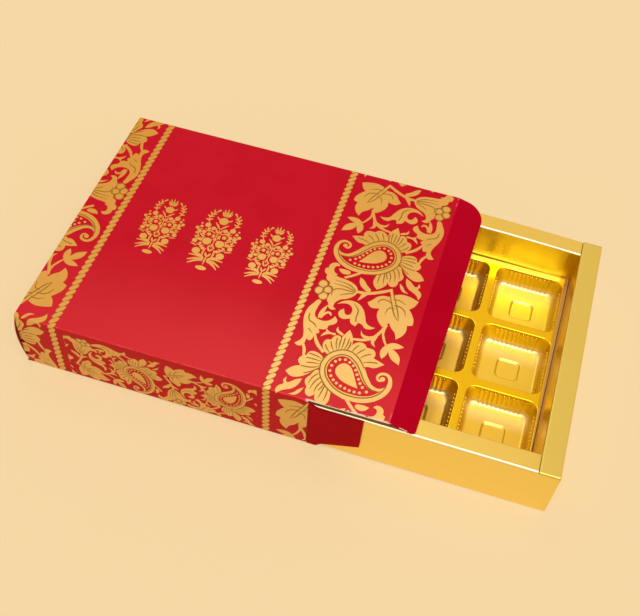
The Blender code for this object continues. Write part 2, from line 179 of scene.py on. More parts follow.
def printedBoard(name, red, deepRed, gloss, wearAndPaintedLight=None):
    # satin varnished board, a little mottled, with fine grain
    finish = Finish(name, Specular_IOR_Level=gloss)
    colour = finish.mix(finish.ramp(finish.noise(45, 3), 0.35, 0.7), red, deepRed)
    grain = finish.noise(1800, 3)
    finish.set("Base Color", wearAndPaintedLight(finish, colour) if wearAndPaintedLight else colour)
    finish.set("Roughness", grain * 0.12 + sleeveLook["roughness"])
    finish.bump(grain, 0.02 * mm, 0.35)
    return finish.material


def paintedFrontSheen(finish, colour):
    # painted sheen: the print is a little paler towards the front edge, most of all near the mouth
    share = finish.ramp(finish.axis("X"), closedX, 40 * mm) * 0.4 + 0.6
    front = finish.ramp(finish.axis("Y"), -5 * mm, -sideY)
    return finish.mix(front * share, colour, sleeveLook["paleRed"])


def tubeWearAndPaintedLight(finish, colour):
    # painted shade: deeper red on the sides and the bottom folds; painted sheen to the front
    # rubbed top folds, chipped corners at the mouth
    height = finish.axis("Z")
    across = finish.offCentre()
    width = sleeveLook["wornWidth"]
    fold = finish.ramp(height, topZ - width, topZ) * finish.ramp(across, sideY - width, sideY)
    rubbed = fold * finish.ramp(finish.noise(260, 4), 0.42, 0.66)
    side = finish.ramp(height, topZ, topZ - 1.5 * width)
    colour = finish.mix(side, paintedFrontSheen(finish, colour), sleeveLook["sideRed"])
    colour = finish.mix(rubbed * 0.5 + fold * 0.35, colour, sleeveLook["worn"])
    bottom = finish.ramp(height, sleeveLook["fold"], 0.2 * mm)
    colour = finish.mix(bottom * 0.8, colour, sleeveLook["shaded"])
    corner = finish.ramp(finish.axis("X"), mouthX - 1.7 * mm, mouthX - 0.5 * mm)
    high = finish.ramp(height, topZ - 1.1 * mm, topZ - 0.4 * mm)
    outer = finish.ramp(across, sideY - 1.1 * mm, sideY - 0.5 * mm)
    return finish.mix(corner * high * outer, colour, sleeveLook["chipped"])


def chips(finish, reach):
    # flecks of bare board along the cut front edge
    edge = finish.ramp(finish.axis("Y"), (reach + 0.4) * mm - sideY, 0.5 * mm - sideY)
    return edge * finish.ramp(finish.noise(520, 3), 0.47, 0.58)


def panelWearAndSheen(finish, colour):
    # painted sheen to the front; chipped front edge, cracked ends of the far crease
    colour = finish.mix(chips(finish, sleeveLook["chipReach"]), paintedFrontSheen(finish, colour),
                        sleeveLook["chipped"])
    line = finish.ramp(finish.axis("X"), tuckCrease - 0.9 * mm, tuckCrease - 0.3 * mm)
    ends = finish.ramp(finish.offCentre(), sideY - 9 * mm, sideY - 5 * mm)
    crack = line * ends * finish.ramp(finish.noise(300, 3), 0.38, 0.6)
    return finish.mix(crack * 0.7, colour, sleeveLook["worn"])


def flapWear(finish, colour):
    return finish.mix(chips(finish, sleeveLook["flapChipReach"]) * 0.8, colour, sleeveLook["chipped"])


def plainBoard(name, colour, shadedEnds=False):
    # uncoated paper with faint fibres; the closed end's back has painted shade at its two ends
    finish = Finish(name)
    fibre = finish.noise(900, 5, (1, 1, 0.4))
    paper = finish.mix(fibre, colour, darker(colour, 0.86))
    if shadedEnds:
        ends = finish.ramp(finish.offCentre(), sideY - 5 * mm, sideY - 4 * mm)
        paper = finish.mix(ends, paper, sleeveLook["shaded"])
    finish.set("Base Color", paper)
    finish.set("Roughness", fibre * 0.1 + sleeveLook["paperRoughness"])
    finish.bump(fibre, 0.03 * mm, 0.4)
    return finish.material


redPair = (sleeveLook["red"], sleeveLook["deepRed"], sleeveLook["printGloss"])
redPrint = printedBoard("printed red board", *redPair, tubeWearAndPaintedLight)
panelPrint = printedBoard("printed end panel", *redPair, panelWearAndSheen)
flapRed = printedBoard("plain red board", sleeveLook["flapRed"], sleeveLook["flapDeepRed"],
                       sleeveLook["plainGloss"], flapWear)
# the dust flaps' darker red is painted shade
dustRed = printedBoard("shaded red board", sleeveLook["dustRed"], sleeveLook["dustDeepRed"],
                       sleeveLook["plainGloss"])
boardBack = plainBoard("board back", sleeveLook["back"])
boardCore = plainBoard("board core", sleeveLook["core"])
panelBack = plainBoard("closed panel back", sleeveLook["back"], shadedEnds=True)


# Mesh helpers

def finishPiece(name, bm, materials, body, replaces=(), sharp=40):
    # a finished piece in the frame, riding its body
    mesh = bpy.data.meshes.new(name)
    bm.to_mesh(mesh)
    bm.free()
    for material in materials:
        mesh.materials.append(material)
    mesh.shade_smooth()
    mesh.set_sharp_from_angle(angle=math.radians(sharp))
    piece = bpy.data.objects.new(name, mesh)
    scene.collection.objects.link(piece)
    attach(piece, body)
    if replaces:
        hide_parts(*replaces)
    return piece


def repaint(material, *nodes):
    # a node whose shape is right keeps it and gets its finish
    for node in nodes:
        slots = frame["nodes"][node].data.materials
        slots.clear()
        slots.append(material)


def addBoard(piece, thickness, back=0):
    # gives an open sheet its thickness on the inner side; large flat faces keep their own shade
    solidify = piece.modifiers.new("Board", "SOLIDIFY")
    solidify.thickness = thickness
    solidify.offset = -1.0
    solidify.use_even_offset = True
    solidify.material_offset = back
    shading = piece.modifiers.new("Even shading", "WEIGHTED_NORMAL")
    shading.weight = 100
    shading.keep_sharp = True


def makeBlock(size, centre):
    bm = bmesh.new()
    bmesh.ops.create_cube(bm, size=1.0, matrix=Matrix.Translation(centre) @ Matrix.Diagonal((*size, 1.0)))
    bm.normal_update()
    return bm


def cutAcross(bm, axis, places, **clear):
    # edge lines across a sheet where it will bend, or where one side of it is cleared away
    normal = Vector([float(i == axis) for i in range(3)])
    for place in places:
        geometry = bm.verts[:] + bm.edges[:] + bm.faces[:]
        bmesh.ops.bisect_plane(
            bm, geom=geometry, dist=1e-7, plane_co=normal * place, plane_no=normal, **clear)


def keepBetween(bm, axis, low=None, high=None):
    # trims closed plates to a stretch along one axis and closes the cut ends
    for place, cleared in ((low, "clear_inner"), (high, "clear_outer")):
        if place is not None:
            cutAcross(bm, axis, [place], **{cleared: True})
            bmesh.ops.holes_fill(bm, edges=[edge for edge in bm.edges if edge.is_boundary], sides=0)


def edgesOf(verts):
    # new vertices' edges, in the order they were made
    return sorted({edge for vert in verts for edge in vert.link_edges}, key=lambda edge: edge.index)


def growEdges(bm, edges):
    # one more row of faces from these edges: the row's new vertices, its far edges and its faces
    grown = bmesh.ops.extrude_edge_only(bm, edges=edges)["geom"]
    verts = [item for item in grown if isinstance(item, bmesh.types.BMVert)]
    fresh = set(verts)
    row = [item for item in grown if isinstance(item, bmesh.types.BMEdge) and fresh.issuperset(item.verts)]
    return verts, row, [item for item in grown if isinstance(item, bmesh.types.BMFace)]


def lookUp(bm):
    # turns an open sheet so that its highest face looks up
    bmesh.ops.recalc_face_normals(bm, faces=bm.faces[:])
    bm.normal_update()
    top = max(bm.faces, key=lambda face: (face.calc_center_median().z, face.calc_area()))
    if top.normal.z < 0:
        bmesh.ops.reverse_faces(bm, faces=bm.faces[:])


def evenSteps(low, high, count):
    return [low + (high - low) * (i + 1) / (count + 1) for i in range(count)]


# Ornament in gold on the board

# the back and front golds are the two ends of a painted sheen on the top
printLook = {
    "backGold": srgb(212, 150, 62), "frontGold": srgb(250, 199, 118), "sideGold": srgb(222, 169, 90),
    "vein": srgb(164, 114, 38), "ropeShade": srgb(172, 104, 44),
    "thick": 0.03, "step": 0.0025, "steps": 8, "veinWidth": 0.55,
}


def goldInk():
    # metallic ink: painted sheen to the front, a little uneven, rubbed off in flecks at the mouth's edge
    finish = Finish("gold ink", Metallic=0.3, Specular_IOR_Level=0.2)
    along = finish.ramp(finish.axis("X"), -60 * mm, 50 * mm)
    across = finish.ramp(finish.axis("Y"), 36 * mm, -48 * mm)
    onTop = finish.ramp(finish.axis("Z"), topZ - 0.4 * mm, topZ - 0.1 * mm)
    # painted sheen: brighter towards the front and the mouth; the sides keep one gold without it
    sheen = along * 0.25 + along * across * 0.6 + across * 0.15 + (finish.noise(70, 3) - 0.5) * 0.3
    top = finish.mix(finish.math("MAXIMUM", sheen, 0.0), printLook["backGold"], printLook["frontGold"])
    colour = finish.mix(onTop, printLook["sideGold"], top)
    atMouth = finish.ramp(finish.axis("X"), mouthX - 3 * mm, mouthX)
    rubbed = chips(finish, sleeveLook["inkChipReach"]) * onTop * atMouth
    finish.set("Base Color", finish.mix(rubbed, colour, sleeveLook["chipped"]))
    finish.set("Roughness", finish.noise(1500, 2) * 0.12 + 0.4)
    return finish.material


def darkInk(name, colour):
    finish = Finish(name, Specular_IOR_Level=0.15)
    finish.set("Base Color", finish.mix(finish.noise(300, 2), colour, darker(colour, 0.8)))
    finish.set("Roughness", finish.noise(1200, 2) * 0.1 + 0.45)
    return finish.material


inkGold = goldInk()
inkVein = darkInk("vein ink", printLook["vein"])
inkRope = darkInk("rope shade ink", printLook["ropeShade"])


def tip(x, y):
    # a pointed place on an outline
    return (x, y, "VECTOR")


def ring(x, y, radius, count, squash=1.0):
    angles = [2 * math.pi * i / count for i in range(count)]
    return [(x + radius * math.cos(a), y + radius * squash * math.sin(a)) for a in angles]


class Stencil:
    # collects outlines and strokes in millimetres, then makes them thin closed plates
    def __init__(self):
        self.shapes = []
        self.strokes = bpy.data.curves.new("strokes", "CURVE")
        self.strokes.dimensions = "3D"
        self.strokes.bevel_depth = 1.0
        self.strokes.bevel_resolution = 0
        self.strokes.use_fill_caps = True
        self.strokes.resolution_u = 4

    def fill(self, *points, smooth=5):
        curve = bpy.data.curves.new("outline", "CURVE")
        curve.dimensions = "2D"
        curve.fill_mode = "BOTH"
        curve.extrude = printLook["thick"] / 2
        curve.resolution_u = smooth
        self.layKnots(curve, points, True)
        self.shapes.append(curve)

    def disc(self, x, y, radius, squash=1.0):
        self.fill(*ring(x, y, radius, 6, squash), smooth=3)

    def stroke(self, width, *points, ends=(0.35, 0.35), closed=False):
        # a point's third number scales the width there, and otherwise ends does at the two ends
        shares = [ends[0]] + [1.0] * (len(points) - 2) + [ends[1]]
        for knot, point, share in zip(self.layKnots(self.strokes, points, closed), points, shares):
            knot.radius = width / 2 * (point[2] if len(point) > 2 else share)

    def hoop(self, width, x, y, radius):
        self.stroke(width, *ring(x, y, radius, 8), ends=(1, 1), closed=True)

    def layKnots(self, curve, points, closed):
        spline = curve.splines.new("BEZIER")
        spline.bezier_points.add(len(points) - 1)
        spline.use_cyclic_u = closed
        for knot, point in zip(spline.bezier_points, points):
            knot.co = (point[0], point[1], 0)
            kind = "VECTOR" if "VECTOR" in point else "AUTO"
            knot.handle_left_type = kind
            knot.handle_right_type = kind
        return spline.bezier_points

    def mesh(self, name, lift):
        # plates are stacked in fine steps, so that none shares a plane with the next
        half = printLook["thick"] / 2
        curves = self.shapes + ([self.strokes] if self.strokes.splines else [])
        carriers = [bpy.data.objects.new("stencil", curve) for curve in curves]
        for carrier in carriers:
            scene.collection.objects.link(carrier)
        graph = bpy.context.evaluated_depsgraph_get()
        bm = bmesh.new()
        for i, carrier in enumerate(carriers):
            part = bpy.data.meshes.new_from_object(carrier.evaluated_get(graph))
            fresh = addMesh(bm, part)
            for vert in fresh:
                if carrier.data == self.strokes and abs(vert.co.z) > 1e-6:
                    vert.co.z = math.copysign(half, vert.co.z)
            rise = lift + (i % printLook["steps"]) * printLook["step"]
            bmesh.ops.translate(bm, verts=fresh, vec=(0, 0, rise))
            bpy.data.meshes.remove(part)
        bmesh.ops.remove_doubles(bm, verts=bm.verts[:], dist=0.0005)
        for carrier, curve in zip(carriers, curves):
            bpy.data.objects.remove(carrier)
            bpy.data.curves.remove(curve)
        bmesh.ops.recalc_face_normals(bm, faces=bm.faces[:])
        result = bpy.data.meshes.new(name)
        bm.to_mesh(result)
        bm.free()
        return result


def addMesh(bm, mesh):
    # a mesh's copy joins the bmesh; returns its vertices
    start = len(bm.verts)
    bm.from_mesh(mesh)
    bm.verts.ensure_lookup_table()
    return bm.verts[start:]


def drawPaisley(gold):
    # petals first, the ring and its filling over them
    gold.fill(tip(-7.8, 89.8), (-5.2, 90.7), tip(-2.8, 91.3), (-3, 93.2), (-1.8, 95), tip(1.4, 95.3),
              (2.6, 96.6), (4.8, 96.9), (6.9, 95.5), (8.1, 93), (8.3, 90.8), (3.5, 88), (0.5, 85.6),
              (-1.6, 86.8), (-4.2, 87))
    gold.fill(tip(10.6, 101.4), (8.4, 98.3), (7.6, 95.4), (8.5, 92.6), (9.5, 90.6), (12, 90.6), (12.5, 94),
              (12.6, 96.8), (11.7, 99.2))
    gold.fill((12.3, 91.5), (12.6, 95.4), (13.4, 97.1), (15.2, 97), tip(16.6, 94.4), (18.2, 94), (19, 91.7),
              (18, 89.4), (15.8, 87.6), (13.6, 88))
    gold.fill((16.6, 85), (20, 87), (22.6, 86.6), tip(23.6, 84.4), (25.3, 83.3), (25.9, 81.3),
              tip(24.2, 79.2), (26.4, 78.2), (28, 76.6), tip(29, 75), (26, 73.4), (23, 74.1), (20.3, 76.2),
              (17.6, 79.4), (16, 82))
    gold.fill((16.6, 79.4), (19, 76), (20.1, 73.4), tip(18.5, 70.6), (18.5, 69), (17.5, 67.4), (15.8, 67.1),
              (14.4, 68.6), (12.6, 71.4), (13.6, 75.4))
    gold.fill((9.4, 72.4), (8.3, 69), (8.3, 66.8), (9.3, 64.9), tip(10.8, 63.4), (12.9, 65.4), (14.2, 68),
              (13.6, 71), (12.2, 73.4))
    gold.stroke(2.9, (-8.9, 82.2, 0.3), (-7.4, 82.4, 0.36), (-7.0, 84.2, 0.4), (-8.6, 85.6, 0.42),
                (-10.9, 85.3, 0.46), (-12.4, 82.9, 0.56), (-12.2, 79.2, 0.8), (-9.6, 75.1, 0.96),
                (-5, 72.2), (0.5, 71.4), (6.2, 72), (11.2, 74.7), (14.6, 79.2), (14.9, 84.4), (12, 88.8),
                (7.8, 90), (3.4, 88), (0, 84.4), (-3, 80.5, 0.9), (-6.4, 78, 0.66), (-9.6, 78.2, 0.4),
                (-11.4, 79.8, 0.2))
    gold.disc(-9.1, 83.2, 1.05)
    gold.fill(tip(-0.9, 76.1), (3.4, 76.7), (7.6, 78.3), (10.1, 81.2), (9.4, 84.2), (7.4, 85.5), (5, 84.8),
              (2.9, 82.4), (1.1, 79.4))
    for x, y in (
        (7.85, 87.25), (10, 86.6), (11.4, 85.25), (12.25, 83), (12.15, 80.5), (11, 78.4), (9.5, 76.9),
        (7.85, 75.9), (5.9, 75.1), (3.9, 74.65), (1.9, 74.25), (-0.15, 74.25), (-2.25, 74.5),
        (-4.75, 75.75), (5.75, 86.6), (3.9, 85.5), (2.4, 83.9), (1.25, 82.1), (0, 80.25), (-1.15, 78.6),
        (-2.6, 77.15),
    ):
        gold.disc(x, y, 0.62)


def drawLeaf(gold):
    # lobed leaf with its sprig and stems
    gold.fill(tip(-12.6, 123.8), (-8.6, 125), (-4.5, 125.1), tip(0.2, 122.4), (2.4, 122.2), (4.9, 120.8),
              (6.4, 118.6), tip(8, 116.8), (5.9, 114.9), tip(2.2, 115.4), (2.5, 113.2), (2, 111),
              (0.4, 108.6), tip(-1.6, 106.8), tip(-3.7, 109.7), (-5.2, 107.6), (-7.4, 105.6),
              tip(-8.6, 102.7), (-10.6, 105), (-11.6, 108), tip(-11.2, 110.6), tip(-13.4, 111.5),
              (-13, 114.2), (-11.5, 116.8), tip(-9.8, 118.8), (-11.5, 120.8))
    gold.fill(tip(-13.1, 100.1), (-10.5, 100.9), (-7.8, 100.6), tip(-5.6, 99), (-8, 97.9), (-10.8, 98.6))
    gold.fill(tip(-13.4, 91.4), (-12.7, 94.8), (-10.2, 97.2), tip(-6, 98.6), (-7.6, 95.8), (-9.6, 93.2))
    gold.fill(tip(-5.8, 92.1), (-7.2, 94.6), (-7, 97.2), tip(-5.7, 98.9), (-4.5, 96.6), (-4.6, 94))
    gold.stroke(1.0, (-3.2, 108.6), (-2.8, 104.6), (-4, 101.4), (-5.7, 98.8), ends=(1, 0.7))
    gold.stroke(1.3, (-3, 108.4), (-1.6, 104.2), (0.4, 100.8), (3.4, 98.6), (8, 97.5), ends=(0.8, 0.8))
    gold.fill((0.3, 101.2), (2.5, 100.7), (4.8, 101), tip(6.2, 102.7), (5.4, 100.2), (3.4, 99.2),
              (1.5, 99.6))
    gold.fill((-0.9, 102.2), (0.7, 100.2), (0.5, 98), tip(-1.8, 96.5), (-0.7, 98.6), (-1, 100.4))
    gold.stroke(1.5, (0.4, 126), (3.5, 124), (7, 122.2), (10, 121.1), (13.8, 120.7), ends=(0.8, 0.9))
    gold.fill((8.6, 122.4), (11, 125.4), (13.2, 127.6), tip(14.9, 128.3), (14.4, 125.8), (12.2, 123.2))
    gold.fill((9.1, 121.6), (10.2, 119), tip(12.3, 116.2), (11.9, 118.8), (11.1, 121.4))
    gold.stroke(1.1, (0.6, 126.6), (-1.2, 123), (-3.2, 119), (-5.2, 115.2), (-6.9, 111.8), ends=(1.2, 0.4))


def drawTulip(gold, vein):
    # flower, berries and curled bud
    gold.fill((13.7, 120.3), (14.5, 122.6), (16.8, 124.3), (20.5, 125.2), (24.4, 125.7), (27, 127.2),
              tip(28.3, 130), tip(30.7, 128.3), (30.4, 126.4), tip(28.9, 125.2), (28.6, 123.2),
              tip(26.4, 121.8), (26, 119.5), tip(24.2, 117.8), (24.7, 115.3), (24.8, 113), tip(23.6, 111.3),
              (23.2, 109.8), (21.6, 108.6), tip(19.6, 109.2), tip(21.2, 110.4), (20.9, 112.6),
              (19.4, 114.5), (16.6, 116), (14.6, 118))
    for x, y in (
        (28.9, 120.1), (26, 118), (29.4, 116.4), (26.9, 114.1),
    ):
        gold.disc(x, y, 1.95)
        vein.hoop(printLook["veinWidth"] * 0.7, x, y, 1.95)
    gold.fill((28.8, 127), (29.6, 129.4), (29.4, 130.9), (28.3, 132.2), (26.9, 132.6), (25.7, 132.2),
              tip(25.2, 131.2), (26.3, 131), (27, 130), (27, 128.8), (26.2, 127.4), (24.8, 126.4))


def drawScroll(gold):
    # between the leaf and the tulip
    gold.fill(tip(1, 105.5), (3, 105.6), (5.2, 106.6), (6.6, 109.4), (8.5, 112.7), (11, 114.8), (14, 115.5),
              (17.4, 114.6), tip(20, 112), (17.8, 113.1), (15.4, 113.4), (13.4, 112.2), (12.7, 110.2),
              (13.2, 108.6), (14.7, 108.1), tip(16.4, 110.7), (17.9, 108.9), (17.5, 106.8), (15.5, 105.7),
              (13.4, 106.3), tip(12.4, 106.8), (11.6, 104.8), tip(9.2, 103.7), tip(8.6, 105.8),
              (6.8, 105.4), (5.1, 104), (2.8, 104.2))


def drawAcanthus(gold):
    # the long leaf, its blade, curl and spray
    gold.fill((27.3, 111.8), (29.7, 109), (31, 105.4), (30.9, 101.6), (29.9, 98), (28.5, 94.6),
              (28.1, 91.4), tip(30.2, 88.4), (28.1, 87.7), (26.6, 88.9), tip(26.3, 92), (24.9, 91.4),
              (23.9, 93), tip(23.9, 95.2), (22.4, 96), tip(23.2, 97.9), (22, 98), (20, 98.9), (19.7, 100.6),
              (18, 101.8), (17, 103.6), tip(18.6, 105.9), (20, 103.5), (22, 102.3), (24.2, 102.2),
              (26.2, 103), (27.2, 105), (27.1, 108.2))
    gold.fill(tip(23.3, 110.6), (24.9, 108), (25.6, 105), tip(25.2, 102.6), (24, 104.6), (23.6, 107))
    gold.stroke(1.1, (20.4, 105.6), (21.4, 106.8), (22.8, 106.3), (24.2, 103.2), ends=(0.4, 0.8))
    gold.stroke(1.5, (23.9, 95.4), (21.6, 91.4), (17.4, 87.8), ends=(0.5, 0.9))
    gold.stroke(1.3, (26.6, 89), (25.3, 86.6), (24.5, 83.6), ends=(0.8, 0.8))
    gold.fill(tip(15.7, 101.4), (16, 99.6), (14.6, 98.3), (12.4, 98.1), (13.6, 99.2), (14.9, 99.8))
    gold.fill((15.4, 97.4), (18.3, 97.9), tip(20, 99), (19.9, 97.5), (20.6, 96.4), tip(21.2, 94.6),
              (19.8, 95.8), (18.2, 96.8))


def drawSmallLeaves(gold):
    # below the paisley
    gold.fill(tip(21.4, 73.7), (23.6, 72.6), (25.3, 71), (26.4, 70.3), (27.1, 70.8), tip(27.5, 72.7),
              (28.3, 70.8), (27.7, 69.4), (29, 68.2), (29.8, 66.4), tip(29.1, 63.7), (28, 65.6), (26, 67),
              (23.6, 68.4), (22, 70.8))
    gold.fill(tip(19.4, 70.1), (20.2, 67.6), (21.8, 65.9), tip(24.3, 65.6), (22.4, 66.9), (21.2, 68.6))
    gold.fill(tip(-8, 69.4), (-5.2, 69.7), (-2.4, 68.6), (-4.6, 67.1), (-6.8, 67.8))
    gold.stroke(1.3, (2, 70.4), (-0.8, 67.8), (-4.2, 65.2), ends=(0.9, 0.9))


def drawVeins(vein):
    # along the ring and round its outside, between the petals, then on the leaf, tulip and acanthus
    for line in (
        ((-11.6, 80.4), (-9.6, 76.2), (-5, 73), (0.5, 72), (6, 72.7), (10.6, 75.3), (13.9, 79.4),
         (14.2, 84.2), (11.7, 88.1), (7.8, 89.3), (3.8, 87.5), (0.6, 84.1), (-2.4, 80.1), (-5.8, 77.4),
         (-9.2, 77.2)),
        ((-0.6, 85.8), (3.2, 89.7), (7.8, 91.6), (12.8, 90), (16.2, 85.4), (16.2, 79.6), (13, 74.6),
         (8.6, 71.5), (3.6, 70)),
        ((-5, 89.6), (-2, 89.1), (0.8, 88)), ((-1.2, 92.8), (0.8, 91.6), (2.4, 89.8)),
        ((1.8, 94.4), (3.4, 92.6), (4.4, 90.8)), ((4.8, 95.4), (5.9, 93.4), (6.4, 91.6)),
        ((8.3, 96), (8.3, 93.6), (9, 91.4)), ((9.4, 97.2), (9.4, 94.4), (9.9, 91.6)),
        ((11.2, 97), (11, 94.2), (11, 91.4)), ((12.6, 96.4), (12.5, 93.8), (12, 91)),
        ((14.3, 96), (13.9, 93.4), (12.8, 90.6)), ((16.2, 93.6), (15.2, 91.6), (13.8, 89.8)),
        ((17.9, 91.6), (16.7, 89.9), (15, 88.4)), ((22.8, 85.6), (20, 85.4), (16.8, 84.7)),
        ((23.2, 83.4), (20, 83.6), (16.9, 83.4)), ((22.4, 81.2), (19.8, 81.8), (16.8, 82.1)),
        ((24, 79.2), (21, 79.4), (18.8, 80), (16.8, 81.2)), ((21.8, 76.2), (19, 78), (16.8, 80.4)),
        ((16.2, 77.8), (17.7, 75.4), (18.4, 72.4)), ((14.8, 76.4), (16.3, 73.6), (17, 70.2)),
        ((13.4, 75), (14.7, 72.2), (15, 69.2)), ((13.6, 70.6), (12.7, 72.6), (12.4, 74)),
        ((10.4, 72.8), (10, 70), (10.1, 66.8)), ((11.8, 73.4), (12.1, 70.6), (12.5, 67.4)),
        ((-0.3, 122.6), (-2.2, 118.8), (-4.6, 114.2), (-6.9, 111.8)),
        ((-1.3, 124.4), (-4.1, 119), (-6, 115), (-7, 112)),
        ((-3.1, 118.7), (-5.4, 118.9), (-8, 117.5), (-9.3, 114.9)),
        ((-2, 121.6), (-4.6, 121.9), (-7.8, 120.6)),
        ((-2.2, 119.4), (0.6, 120.4), (3, 119.8), (3.8, 117.7)),
        ((-3.9, 117.2), (-1.7, 116.9), (-0.7, 113.3)), ((14.6, 120.9), (17.6, 122.8), (24.6, 123.7)),
        ((14.6, 120.4), (18.4, 121.5), (24.8, 121.8)),
        ((14.6, 119.9), (18.4, 120), (22, 119.6), (23.9, 118), (23.6, 115.4)),
        ((15, 119.2), (17.8, 118.2), (20.4, 116.6)), ((26.4, 121.6), (27.4, 120.8)),
        ((24.5, 117.7), (25, 119.2), (26.2, 119.5), (27.6, 118.5), (27.5, 116.8)),
        ((27.9, 116), (28.2, 117.8)), ((25.4, 116.3), (26.3, 115.4)),
        ((9.6, 105.8), (10.2, 108.4), (10.4, 111.6), (13.4, 114.6)),
        ((29.2, 104.2), (28.4, 101), (25.6, 99.6), (24.2, 98.2)), ((27.2, 96.8), (25, 95.2)),
    ):
        vein.stroke(printLook["veinWidth"], *line, ends=(0.85, 0.4))


def bandUnit():
    # one repeat of the large band, and its veins on top
    gold, vein = Stencil(), Stencil()
    drawPaisley(gold)
    drawLeaf(gold)
    drawTulip(gold, vein)
    drawScroll(gold)
    drawAcanthus(gold)
    drawSmallLeaves(gold)
    drawVeins(vein)
    veinLift = printLook["step"] * (printLook["steps"] + 1) + printLook["thick"] / 2
    return gold.mesh("band gold", 0.0), vein.mesh("band veins", veinLift)


def butaUnit():
    # the small standing bouquet, drawn round x = 0
    gold = Stencil()
    gold.disc(0, butaLook["base"], 2.5, 0.45)
    gold.stroke(0.7, (0, 51.6), (0, 53.4), (0, 55.2), (0, 56.6))
    gold.stroke(0.5, (0, 61.6), (0, 66), (0, 70), (0, 74))
    for y, radius in ((78.4, 2.1), (66.8, 0.75), (63.4, 0.6)):
        gold.disc(0, y, radius)
    gold.stroke(0.9, (0, 81), (0, 83.4), (-0.2, 86.2))
    for side in (-1, 1):
        for width, line in (
            (1.1, ((0.8, 54.8), (3.4, 55.8), (7.9, 55.5))), (1.1, ((0.9, 54.4), (4, 54.1), (7.5, 52.4))),
            (1.1, ((0.9, 53.8), (3.8, 52.9), (6.7, 50.6))), (0.9, ((1, 55.2), (3, 56.6), (5.2, 56.4))),
            (1, ((0.15, 56.3), (0.7, 57.3), (1.2, 58.6))), (0.9, ((0.15, 59.6), (0.7, 60.6), (1.3, 61.8))),
            (0.9, ((2.1, 56.4), (2.4, 58.4), (2, 60.8))), (0.7, ((3.2, 62.2), (5, 61.7), (7, 62.2))),
            (0.7, ((6.6, 61), (8, 61.6), (9.6, 61.9))), (0.8, ((0.4, 62.8), (1, 62.4), (1.6, 61.6))),
            (0.7, ((1, 70.2), (3.6, 71.4), (6.4, 71.6))), (0.8, ((0.3, 70.8), (0.9, 71.8), (1.6, 73.4))),
            (0.8, ((4, 70.6), (4.8, 71), (5.4, 70.4))), (0.7, ((7.2, 71), (8.4, 70.7), (9.4, 69.8))),
            (0.8, ((5, 68.2), (6, 68.5), (7, 68.1))), (0.7, ((7.2, 64.6), (8.2, 65.4), (9.4, 66.6))),
            (0.8, ((5.7, 64.2), (5.6, 65.6), (5.1, 66.6))), (0.8, ((0.9, 67.4), (1.2, 68.2), (2, 67.7))),
            (0.9, ((0.3, 73.4), (1.6, 75.2), (3.1, 76.7))), (0.8, ((1.7, 78.9), (2.7, 79.2), (3.6, 80.2))),
            (0.9, ((0.5, 81.6), (1.1, 83.4), (1.7, 85.4))), (0.8, ((0.7, 81.3), (1.6, 82.3), (2.2, 84))),
            (0.6, ((5.6, 75.4), (6.7, 77.6), (6.6, 80.4), (4.6, 83.4))),
            (0.8, ((6.6, 76.9), (7.4, 77.4), (8.2, 77.6))), (0.8, ((6.9, 78.9), (7.6, 79.7), (8.2, 80))),
            (0.8, ((6.6, 80.7), (7.1, 81.7), (7.5, 82.2))), (0.8, ((5.7, 82.3), (6.1, 83.2), (6.2, 84))),
            (0.8, ((6.4, 77.4), (5.7, 78), (5.1, 78.2))), (0.8, ((6.5, 79.3), (5.7, 79.9), (5.1, 80.2))),
            (0.8, ((6, 81), (5.2, 81.5), (4.5, 81.7))), (0.8, ((4.8, 82.8), (4.2, 83.8), (3.2, 84.6))),
            (0.6, ((8, 66.6), (8.6, 69), (9.8, 71.2))), (0.6, ((4.4, 66.6), (6.6, 67.6), (8.4, 69.4))),
        ):
            gold.stroke(width, *[(side * x, y) for x, y in line], ends=(0.55, 0.45))
        for x, y, radius in (
            (5.6, 58.3, 1.8), (3.05, 64.9, 2), (8.3, 63.6, 1.15), (9.9, 71.3, 0.85), (8.3, 72.6, 0.75),
            (5.9, 74.2, 1.35), (3.3, 60.4, 0.85), (5.4, 62.9, 0.7), (6.6, 65.2, 0.85), (5.8, 67.2, 0.6),
            (7.9, 66.6, 0.65), (3.6, 69.1, 0.95), (6.2, 69.8, 0.95), (8, 69.6, 0.7), (1.3, 68.9, 0.7),
            (2.8, 73, 1.05), (0.9, 71.6, 0.6), (4.6, 72.4, 0.7), (9.2, 68.3, 0.55), (4.4, 61, 0.55),
            (3.9, 84.3, 0.5), (1.6, 66.2, 0.5), (8.8, 74.4, 0.5),
        ):
            gold.disc(side * x, y, radius)
    return gold.mesh("buta gold", 0.0)


butaLook = {
    "base": 49.6, "lift": 10.0,
    "places": (("left", -90.5, 0.915), ("middle", -65.0, 1.0), ("right", -39.3, 0.915)),
}

print("drawing the ornament")
unitGold, unitVein = bandUnit()
unitButa = butaUnit()
bandInks = ((unitGold, inkGold), (unitVein, inkVein))

bandLook = {
    "unitLow": 63.0, "glideLow": -1.0, "unitHeight": 71.0, "glideX": 16.4, "glideY": 64.0, "repeats": 6,
    "creaseGap": 0.01 * mm, "creaseReach": 0.2 * mm, "panelEdge": 0.4 * mm,
    "closedTurnX": -128.0, "closedTurnY": 133.0,
}

# small shears of the two front repeats at the mouth, as the photographed print has them
frontNudges = {
    ("glide", 0): Matrix(((1, 0.0245, 0, -0.8), (0, 1.068, 0, -1.05), (0, 0, 1, 0), (0, 0, 0, 1))),
    ("plain", -1): Matrix(((1, 0, 0, 0), (0.08, 1, 0, 0), (0, 0, 1, 0), (0, 0, 0, 1))),
}


def lay(bm, mesh, placement):
    # adds a copy of a drawn unit
    fresh = addMesh(bm, mesh)
    bmesh.ops.transform(bm, verts=fresh, matrix=placement)
    if placement.determinant() < 0:
        bmesh.ops.reverse_faces(bm, faces=list({face for vert in fresh for face in vert.link_faces}))


